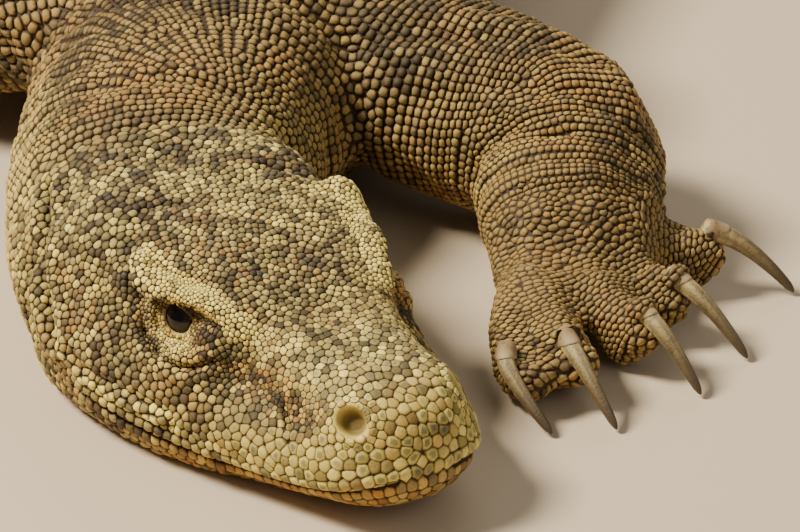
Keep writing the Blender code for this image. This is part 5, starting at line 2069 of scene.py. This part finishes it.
class Graph:
    """The node graph of one material."""

    def __init__(self, name: str) -> None:
        """Makes a material with a Principled shader."""
        self.material = bpy.data.materials.new(name)
        self.material.use_nodes = True
        self.tree = self.material.node_tree
        self.shader = next(n for n in self.tree.nodes if n.type == "BSDF_PRINCIPLED")

    def node(self, kind: str, settings: dict, inputs: dict, output: int | str = 0) -> Signal:
        """Adds a node.

        Args:
            kind: Its type.
            settings: Its properties, set first.
            inputs: Values or signals of its sockets, by name or number.
            output: Which output to return.

        Returns:
            The output as a signal.
        """
        made = self.tree.nodes.new(kind)
        for key, value in settings.items():
            setattr(made, key, value)
        for key, value in inputs.items():
            self._feed(made.inputs[key], value)
        return Signal(self, made.outputs[output])

    def _feed(self, socket: bpy.types.NodeSocket, value: "Signal | float | Colour") -> None:
        """Links or sets a socket."""
        if isinstance(value, Signal):
            self.tree.links.new(value.socket, socket)
        elif isinstance(value, tuple) and socket.type == "RGBA":
            socket.default_value = (*value, 1.0)
        else:
            socket.default_value = value

    def attribute(self, name: str) -> Signal:
        """A number stored on the mesh."""
        return self.node("ShaderNodeAttribute", {"attribute_name": name}, {}, "Fac")

    def noise(self, size: float, detail: float = 3.0, rough: float = 0.55) -> Signal:
        """Noise whose blotches are about this wide, in metres."""
        place = self.node("ShaderNodeTexCoord", {}, {}, "Object")
        inputs = {"Vector": place, "Scale": 1 / size, "Detail": detail, "Roughness": rough}
        return self.node("ShaderNodeTexNoise", {}, inputs, "Fac")

    def mix(self, first: "Signal | Colour", second: "Signal | Colour", share: "Signal | float") -> Signal:
        """One colour turning into another."""
        made = self.tree.nodes.new("ShaderNodeMix")
        made.data_type = "RGBA"
        made.clamp_factor = True
        self._feed(made.inputs[0], share)
        self._feed(made.inputs[6], first)
        self._feed(made.inputs[7], second)
        return Signal(self, made.outputs[2])

    def bump(self, height: Signal, depth: float, strength: float = 1.0) -> Signal:
        """A bump as deep as depth, in metres."""
        inputs = {"Height": height, "Distance": depth, "Strength": strength}
        return self.node("ShaderNodeBump", {}, inputs, "Normal")

    def finish(self, **values: "Signal | float | Colour") -> bpy.types.Material:
        """Feeds the shader's sockets, named with underscores for spaces."""
        for key, value in values.items():
            self._feed(self.shader.inputs[key.replace("_", " ")], value)
        return self.material


# ------------------------------------------------------------------ finishes
@dataclass(frozen=True)
class Hide:
    """Dry, dusty hide in olive, tan and grey brown, with shade painted into the gaps between scales, the
    nostrils, the mouth's slit and the eye sockets.
    """

    middle: Colour = (0.330, 0.202, 0.048)
    pale: Colour = (0.980, 0.785, 0.215)
    dark: Colour = (0.034, 0.018, 0.006)
    warm: Colour = (0.480, 0.200, 0.030)
    grey: Colour = (0.180, 0.150, 0.085)
    slate: Colour = (0.080, 0.078, 0.056)
    green: Colour = (0.480, 0.400, 0.072)
    # Dark skin of the furrows between scales, which also stands for the shade that falls in them.
    furrow_skin_and_shade: Colour = (0.040, 0.018, 0.004)
    # Near black painted as the shade inside the nostrils, the mouth's slit and the eye sockets.
    hollow_shade: Colour = (0.060, 0.026, 0.007)

    def _ground(self, graph: Graph, tone: "Signal | float", tint: "Signal | float") -> Signal:
        """The hide's colour before the furrows' dark skin and their painted shade.

        Args:
            graph: The material's graph.
            tone: From dark to pale, one for each scale.
            tint: From warm to grey, one for each scale.

        Returns:
            The colour.
        """
        fine = graph.noise(0.0016, 4.0)
        blotch = graph.noise(0.0085, 3.0)
        colour = graph.mix(self.middle, self.green, graph.attribute("green") * (0.4 + 0.8 * tint))
        warm = graph.attribute("warm") * (0.20 + 0.9 * (1 - tint)) * (0.45 + fine)
        colour = graph.mix(colour, self.warm, warm)
        colour = graph.mix(colour, self.grey, graph.attribute("grey") * (0.2 + 1.1 * tint))
        dark = graph.attribute("dark") * (0.35 + 0.9 * (1 - tone)) + (blotch.step(0.46, 0.64) - 0.3) * 0.30
        colour = graph.mix(colour, self.dark, dark.step(0.05, 1.05))
        pale = graph.attribute("pale") * (0.42 + 0.80 * tone) * (0.72 + 0.6 * fine)
        colour = graph.mix(colour, self.pale, pale)
        smudge = graph.noise(0.0042, 3.0).step(0.50, 0.62) * graph.attribute("grey")
        return graph.mix(colour, self.slate, smudge * 0.65)

    def scales(self) -> bpy.types.Material:
        """The finish of the scales."""
        graph = Graph("scales")
        tone, tint = graph.attribute("tone"), graph.attribute("tint")
        colour = self._ground(graph, tone, tint)
        colour = graph.mix(colour, self.dark, tone.step(0.36, 0.0) * 0.55)
        colour = graph.mix(colour, self.pale, tone.step(0.70, 1.0) * 0.26)
        core = (graph.attribute("rim") + 0.5 * (graph.noise(0.002) - 0.5)).step(0.70, 0.25)
        core = core * tint.step(0.50, 0.75) * (graph.attribute("green") + 0.5 * graph.attribute("grey"))
        colour = graph.mix(colour, self.slate, core * 0.62)
        # Each scale darkens towards its rim: partly the dark skin of the furrows, partly painted shade in the
        # gaps between scales.
        rim = graph.attribute("rim") + 0.25 * (graph.noise(0.0012) - 0.5)
        furrow_skin_and_shade = rim.step(0.63, 0.95) * (0.95 - 0.25 * graph.attribute("green"))
        colour = graph.mix(colour, self.furrow_skin_and_shade, furrow_skin_and_shade)
        specks = graph.noise(0.0007, 2.0).step(0.58, 0.70)
        colour = graph.mix(colour, self.dark, specks * 0.40)
        rough = 0.46 + 0.24 * graph.noise(0.004) + 0.14 * graph.attribute("rim")
        bump = graph.bump(graph.noise(0.0008, 4.0, 0.6), 0.0003, 0.9)
        return graph.finish(Base_Color=colour, Roughness=rough, Normal=bump, IOR=1.42)

    def skin(self) -> bpy.types.Material:
        """The finish of the skin between the scales, round the eyes and in the mouth and nostrils, with
        painted shade in the nostrils, the mouth's slit and the eye sockets.
        """
        graph = Graph("skin")
        # The skin between the scales takes the furrows' colour: partly its own dark colour, partly painted
        # shade in the gaps.
        colour = graph.mix(self._ground(graph, 0.5, 0.4), self.furrow_skin_and_shade, 1 - graph.attribute("bare"))
        # Painted shade inside the nostrils, the mouth's slit and the eye sockets.
        colour = graph.mix(colour, self.hollow_shade, graph.attribute("hollow_shade"))
        rough = 0.55 + 0.2 * graph.noise(0.003)
        bump = graph.bump(graph.noise(0.0012, 5.0, 0.6), 0.0003, 0.8)
        return graph.finish(Base_Color=colour, Roughness=rough, Normal=bump, IOR=1.42)

    def cuticle(self) -> bpy.types.Material:
        """The finish of the smooth sheath at the base of each claw."""
        graph = Graph("cuticle")
        along = graph.attribute("along")
        colour = graph.mix((0.270, 0.170, 0.070), (0.520, 0.400, 0.200), along.step(0.15, 0.85))
        colour = graph.mix(colour, self.dark, graph.noise(0.003).step(0.52, 0.75) * 0.55)
        bump = graph.bump(graph.noise(0.0008, 4.0), 0.0003, 0.7)
        return graph.finish(Base_Color=colour, Roughness=0.55 + 0.2 * graph.noise(0.002), Normal=bump)


@dataclass(frozen=True)
class Horn:
    """Claw horn, tan at the base and dark at the tip."""

    base: Colour = (0.560, 0.420, 0.180)
    middle: Colour = (0.262, 0.190, 0.078)
    tip: Colour = (0.075, 0.048, 0.020)

    def claw(self) -> bpy.types.Material:
        """The finish of the claws."""
        graph = Graph("claw_horn")
        along = graph.attribute("along") + 0.12 * (graph.noise(0.004) - 0.5)
        colour = graph.mix(self.base, self.middle, along.step(0.10, 0.55))
        colour = graph.mix(colour, self.tip, along.step(0.45, 0.95))
        streak = graph.attribute("streak")
        colour = graph.mix(colour, self.tip, streak.step(0.45, 0.9) * 0.42)
        stain = graph.noise(0.0011, 5.0).step(0.50, 0.66) + graph.noise(0.005, 4.0).step(0.48, 0.66)
        colour = graph.mix(colour, self.tip, stain * 0.42)
        bump = graph.bump(streak + 1.6 * graph.noise(0.0007, 4.0), 0.00028, 1.0)
        rough = 0.34 + 0.25 * graph.noise(0.0025)
        return graph.finish(Base_Color=colour, Roughness=rough, Normal=bump, IOR=1.5)


@dataclass(frozen=True)
class EyeGloss:
    """A wet, nearly black eye with a dark brown iris."""

    pupil: Colour = (0.002, 0.0016, 0.0014)
    iris: Colour = (0.022, 0.010, 0.004)
    white: Colour = (0.045, 0.022, 0.012)

    def eyeball(self) -> bpy.types.Material:
        """The finish of the eyeballs."""
        graph = Graph("eyeball")
        graph.shader.inputs["Specular IOR Level"].default_value = 0.25
        angle = graph.attribute("angle")
        colour = graph.mix(self.pupil, self.iris, angle.step(0.30, 0.36) * (0.4 + graph.noise(0.0008)))
        colour = graph.mix(colour, self.white, angle.step(0.66, 0.80))
        graph.shader.inputs["Coat Roughness"].default_value = 0.02
        return graph.finish(Base_Color=colour, Roughness=0.12, Coat_Weight=0.4, IOR=1.40)


# ------------------------------------------------------------------ eyes and claws
@dataclass
class Eye:
    """One eyeball.

    Attributes:
        node: The solid it stands for.
        centre: Its middle.
        gaze: The way it looks.
        radius: Its radius.
    """

    node: str
    centre: Array
    gaze: Array
    radius: float

    def build(self, finish: bpy.types.Material) -> bpy.types.Object:
        """Makes the eyeball, its pole at the middle of the gaze."""
        deselect()
        turn = Vector(self.gaze).to_track_quat("Z", "Y").to_euler()
        bpy.ops.mesh.primitive_uv_sphere_add(
            segments=64, ring_count=40, radius=self.radius, location=self.centre, rotation=turn
        )
        obj = bpy.context.object
        obj.name = f"{self.node}ball"
        bpy.ops.object.transform_apply(location=True, rotation=True, scale=True)
        bpy.ops.object.shade_smooth()
        points = Surface.of(obj).points
        angle = np.arccos(np.clip(unit(points - self.centre) @ self.gaze, -1, 1))
        set_attribute(obj, "angle", angle)
        obj.data.materials.append(finish)
        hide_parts(self.node)
        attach(obj, BODY)
        deselect()
        return obj


@dataclass
class Claw:
    """One claw with the sheath at its base.

    Attributes:
        node: The solid it stands for.
        joint: The digit's last joint.
        root: Where the horn leaves the flesh.
        tip: Its tip.
        scale: Size against a forefoot's claw.
        half_width: Half its width at the root.
        half_height: Half its height at the root.
        seat: How deep its root sits in the toe.
        blunt: Size of its tip against its root.
    """

    node: str
    joint: Array
    root: Array
    tip: Array
    scale: float
    half_width: float = 0.0040
    half_height: float = 0.0050
    seat: float = 0.006
    blunt: float = 0.30

    # Distance of the sheath's rings from the claw's root, and their width against the claw's.
    COLLAR = (
        (-0.0050, 1.05), (-0.0020, 1.14), (0.0005, 1.18), (0.0025, 1.18), (0.0045, 1.16), (0.0060, 1.13),
        (0.0067, 1.09), (0.0068, 1.05), (0.0060, 1.01), (0.0040, 0.95),
    )
    SIDES = 20
    STEPS = 18
    AROUND = np.arange(SIDES) / SIDES * TURN

    @property
    def chord(self) -> float:
        """Straight distance from root to tip."""
        return np.linalg.norm(self.tip - self.root)

    def _spine(self, t: Array) -> tuple[Array, Array]:
        """Middle line and direction of the claw at shares of its length; below 0 it is in the flesh."""
        chord = self.chord
        way = unit(self.root - self.joint)
        high = self.root + way * 0.34 * chord + np.array([0, 0, 0.12 * chord])
        t = t[:, None]
        place = (1 - t) ** 2 * self.root + 2 * t * (1 - t) * high + t * t * self.tip
        slope = 2 * (1 - t) * (high - self.root) + 2 * t * (self.tip - high)
        inside = self.root + way * t * chord
        return np.where(t < 0, inside, place), unit(np.where(t < 0, way + 0 * slope, slope))

    def _taper(self, t: Array) -> Array:
        """The claw's thickness at shares of its length against that at its root."""
        return self.blunt + (1 - self.blunt) * (1 - np.clip(t, 0, 1)) ** 0.62

    def _ring(self, t: Array, wide: Array, high: Array) -> Array:
        """Rings round the spine, flatter underneath."""
        centre, way = self._spine(t)
        side = unit(np.cross(way, UP))
        up = np.cross(side, way)
        turn = self.AROUND
        x = np.sign(np.cos(turn)) * np.abs(np.cos(turn)) ** 0.9
        y = np.sin(turn) * np.where(np.sin(turn) < 0, 0.86, 1.0)
        return (
            centre[:, None]
            + side[:, None] * (wide[:, None] * x)[..., None]
            + up[:, None] * (high[:, None] * y)[..., None]
        )

    def _tube(self, rings: Array, t: Array) -> tuple[Array, Array]:
        """Vertices and triangles of a closed tube of rings, its ends at two shares of the claw's length."""
        n, k = rings.shape[:2]
        ends, _ = self._spine(t)
        verts = np.vstack([rings.reshape(-1, 3), ends[0][None], ends[1][None]])
        ring, nxt = np.arange(k), np.roll(np.arange(k), -1)
        last = (n - 1) * k
        start = np.stack([np.full(k, n * k), nxt, ring], 1)
        end = np.stack([np.full(k, n * k + 1), last + ring, last + nxt], 1)
        return verts, np.vstack([start, *tube_walls(k, n), end])

    def build(self, finish: bpy.types.Material) -> bpy.types.Object:
        """Makes the horn."""
        inside = -self.seat * 0.9 * self.scale / self.chord
        t = np.concatenate([[inside], np.linspace(0, 0.94, self.STEPS), [0.97, 0.99, 1]])
        taper = self._taper(t) * np.sqrt(np.clip(1 - ((t - 0.92) / 0.083) ** 2 * (t > 0.92), 0.02, 1))
        rings = self._ring(t, self.half_width * self.scale * taper, self.half_height * self.scale * taper)
        verts, faces = self._tube(rings, np.array([t[0], 1.001]))
        verts[:, 2] = np.maximum(verts[:, 2], FLOOR)
        obj = mesh_object(f"{self.node}_horn", verts, faces)
        along = np.concatenate([np.repeat(np.clip(t, 0, 1), self.SIDES), [0.0, 1.0]])
        set_attribute(obj, "along", along)
        turn = np.tile(np.arange(self.SIDES) / self.SIDES, len(t))
        streak = 0.5 + 0.5 * np.sin(turn * TURN * 5 + 3 * np.repeat(t, self.SIDES))
        set_attribute(obj, "streak", np.concatenate([streak, [0.5, 0.5]]))
        obj.data.materials.append(finish)
        smooth(obj)
        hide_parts(self.node)
        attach(obj, BODY)
        return obj

    def sheath(self) -> tuple[Array, Array, Array]:
        """Vertices, triangles and place along its length of the smooth collar at the claw's base."""
        steps, wide = np.array(self.COLLAR).T
        t = steps * self.scale / self.chord
        taper = self._taper(t)
        across = self.half_width * self.scale * taper * wide
        upright = self.half_height * self.scale * taper * wide
        rings = self._ring(t, across, upright)
        way = unit(self.root - self.joint)
        lobe = (np.clip(np.sin(self.AROUND), -0.5, 1) - 0.6) * 0.0034 * self.scale
        share = smoothstep(0.0, 1.0, (np.arange(len(t)) - 1) / 5.0)
        rings = rings + way * (share[:, None] * lobe[None])[..., None]
        verts, faces = self._tube(rings, t[[0, -1]])
        along = np.concatenate([np.repeat(np.arange(len(t)) / (len(t) - 1), self.SIDES), [0.0, 1.0]])
        return verts, faces, along


@dataclass
class Claws:
    """All twenty claws and their sheaths."""

    anatomy: Anatomy

    def build(self, horn: bpy.types.Material, cuticle: bpy.types.Material) -> list[bpy.types.Object]:
        """Makes the claws, each its own piece, and the sheaths in one."""
        made, verts, faces, along, start = [], [], [], [], 0
        for digit in self.anatomy.digits:
            claw = Claw(f"{digit.foot}_claw_{digit.number}", digit.joint, digit.root, digit.tip, digit.scale)
            made.append(claw.build(horn))
            v, f, a = claw.sheath()
            verts.append(v)
            faces.append(f + start)
            along.append(a)
            start += len(v)
        points = np.vstack(verts)
        points[:, 2] = np.maximum(points[:, 2], FLOOR)
        obj = mesh_object("claw_sheaths", points, np.vstack(faces))
        set_attribute(obj, "along", np.concatenate(along))
        obj.data.materials.append(cuticle)
        smooth(obj)
        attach(obj, BODY)
        return [*made, obj]


# ------------------------------------------------------------------ floor, light and camera
@dataclass(frozen=True)
class Studio:
    """A plain pale floor under soft light, and the camera.

    Attributes:
        camera: Where the camera stands, from the point under the snout.
        pitch: Degrees it looks down.
        yaw: Degrees it looks to the left.
        lens: Focal length in millimetres on a 36 mm sensor.
    """

    camera: Spot = (-0.003, -1.984, 1.164)
    pitch: float = 27.76
    yaw: float = 0.3616
    lens: float = 256.7
    floor: Colour = (0.60, 0.48, 0.33)

    # Name, place, aim, width, power in watts and colour of each light.
    LIGHTS = (
        ("key", (-1.9, -1.0, 2.4), (0.0, -0.9, 0.0), 0.8, 205.0, (1.0, 0.94, 0.82)),
        ("fill", (1.9, -2.6, 1.7), (0.1, -0.8, 0.0), 2.2, 16.0, (1.0, 0.98, 0.95)),
        ("back", (0.6, 2.4, 2.6), (0.0, 0.0, 0.0), 2.5, 45.0, (1.0, 0.96, 0.90)),
    )
    WORLD, WORLD_STRENGTH = (0.95, 0.92, 0.86, 1), 0.20
    FLOOR_SIZE, BELOW = 30, 0.0003  # the floor lies a little below the animal
    SENSOR = 36.0

    def build(self, snout: Array) -> None:
        """Lays the floor and places the lights and the camera."""
        self._floor()
        for light in self.LIGHTS:
            self._light(*light)
        world = bpy.data.worlds.new("soft")
        world.use_nodes = True
        background = world.node_tree.nodes["Background"]
        background.inputs["Color"].default_value = self.WORLD
        background.inputs["Strength"].default_value = self.WORLD_STRENGTH
        bpy.context.scene.world = world
        self._camera(snout)

    def _floor(self) -> None:
        """A large plain floor."""
        deselect()
        bpy.ops.mesh.primitive_plane_add(size=self.FLOOR_SIZE, location=(0, 0, FLOOR - self.BELOW))
        floor = bpy.context.object
        floor.name = "floor"
        graph = Graph("floor")
        floor.data.materials.append(graph.finish(Base_Color=self.floor, Roughness=0.85))
        deselect()

    @staticmethod
    def _light(name: str, place: Spot, at: Spot, size: float, power: float, colour: Colour) -> None:
        """Adds a large soft light.

        Args:
            name: Its name.
            place: Where it hangs.
            at: Where it points.
            size: Its width.
            power: Its power in watts.
            colour: Its colour.
        """
        data = bpy.data.lights.new(name, "AREA")
        data.size = size
        data.energy = power
        data.color = colour
        light = bpy.data.objects.new(name, data)
        light.location = place
        light.rotation_euler = (Vector(at) - Vector(place)).to_track_quat("-Z", "Y").to_euler()
        bpy.context.scene.collection.objects.link(light)

    def _camera(self, snout: Array) -> None:
        """Places the camera and makes it the scene's."""
        data = bpy.data.cameras.new("camera")
        data.sensor_width = self.SENSOR
        data.lens = self.lens
        data.clip_start = 0.01
        camera = bpy.data.objects.new("camera", data)
        pitch, yaw = math.radians(self.pitch), math.radians(self.yaw)
        way = Vector((-math.sin(yaw) * math.cos(pitch), math.cos(yaw) * math.cos(pitch), -math.sin(pitch)))
        camera.location = Vector(snout) + Vector(self.camera)
        camera.rotation_euler = way.to_track_quat("-Z", "Y").to_euler()
        bpy.context.scene.collection.objects.link(camera)
        bpy.context.scene.camera = camera


def main() -> None:
    """Builds the animal's looks and the scene round it."""
    logging.basicConfig(level=logging.INFO, format="%(message)s")
    anatomy = Anatomy()
    markings_and_shade = MarkingsAndShade(anatomy)
    hide = Hide()
    skin = Skin(anatomy, markings_and_shade)
    skin.build()
    skin.obj.data.materials.append(hide.skin())
    smooth(skin.obj)
    log.info("skin: %d faces", len(skin.obj.data.polygons))
    coat = Coat(anatomy, markings_and_shade, skin)
    coat.build()
    scales = hide.scales()
    for piece in coat.pieces:
        piece.data.materials.append(scales)
    gloss = EyeGloss().eyeball()
    for node, centre, side in zip(("left_eye", "right_eye"), anatomy.head.eyes, (1.0, -1.0)):
        Eye(node, centre, skin.gaze(side)[0], anatomy.head.eye_radius).build(gloss)
    log.info("eyes: 2")
    made = Claws(anatomy).build(Horn().claw(), hide.cuticle())
    log.info("claws and sheaths: %d pieces", len(made))
    Studio().build(anatomy.head.snout)


if __name__ == "__main__":
    main()
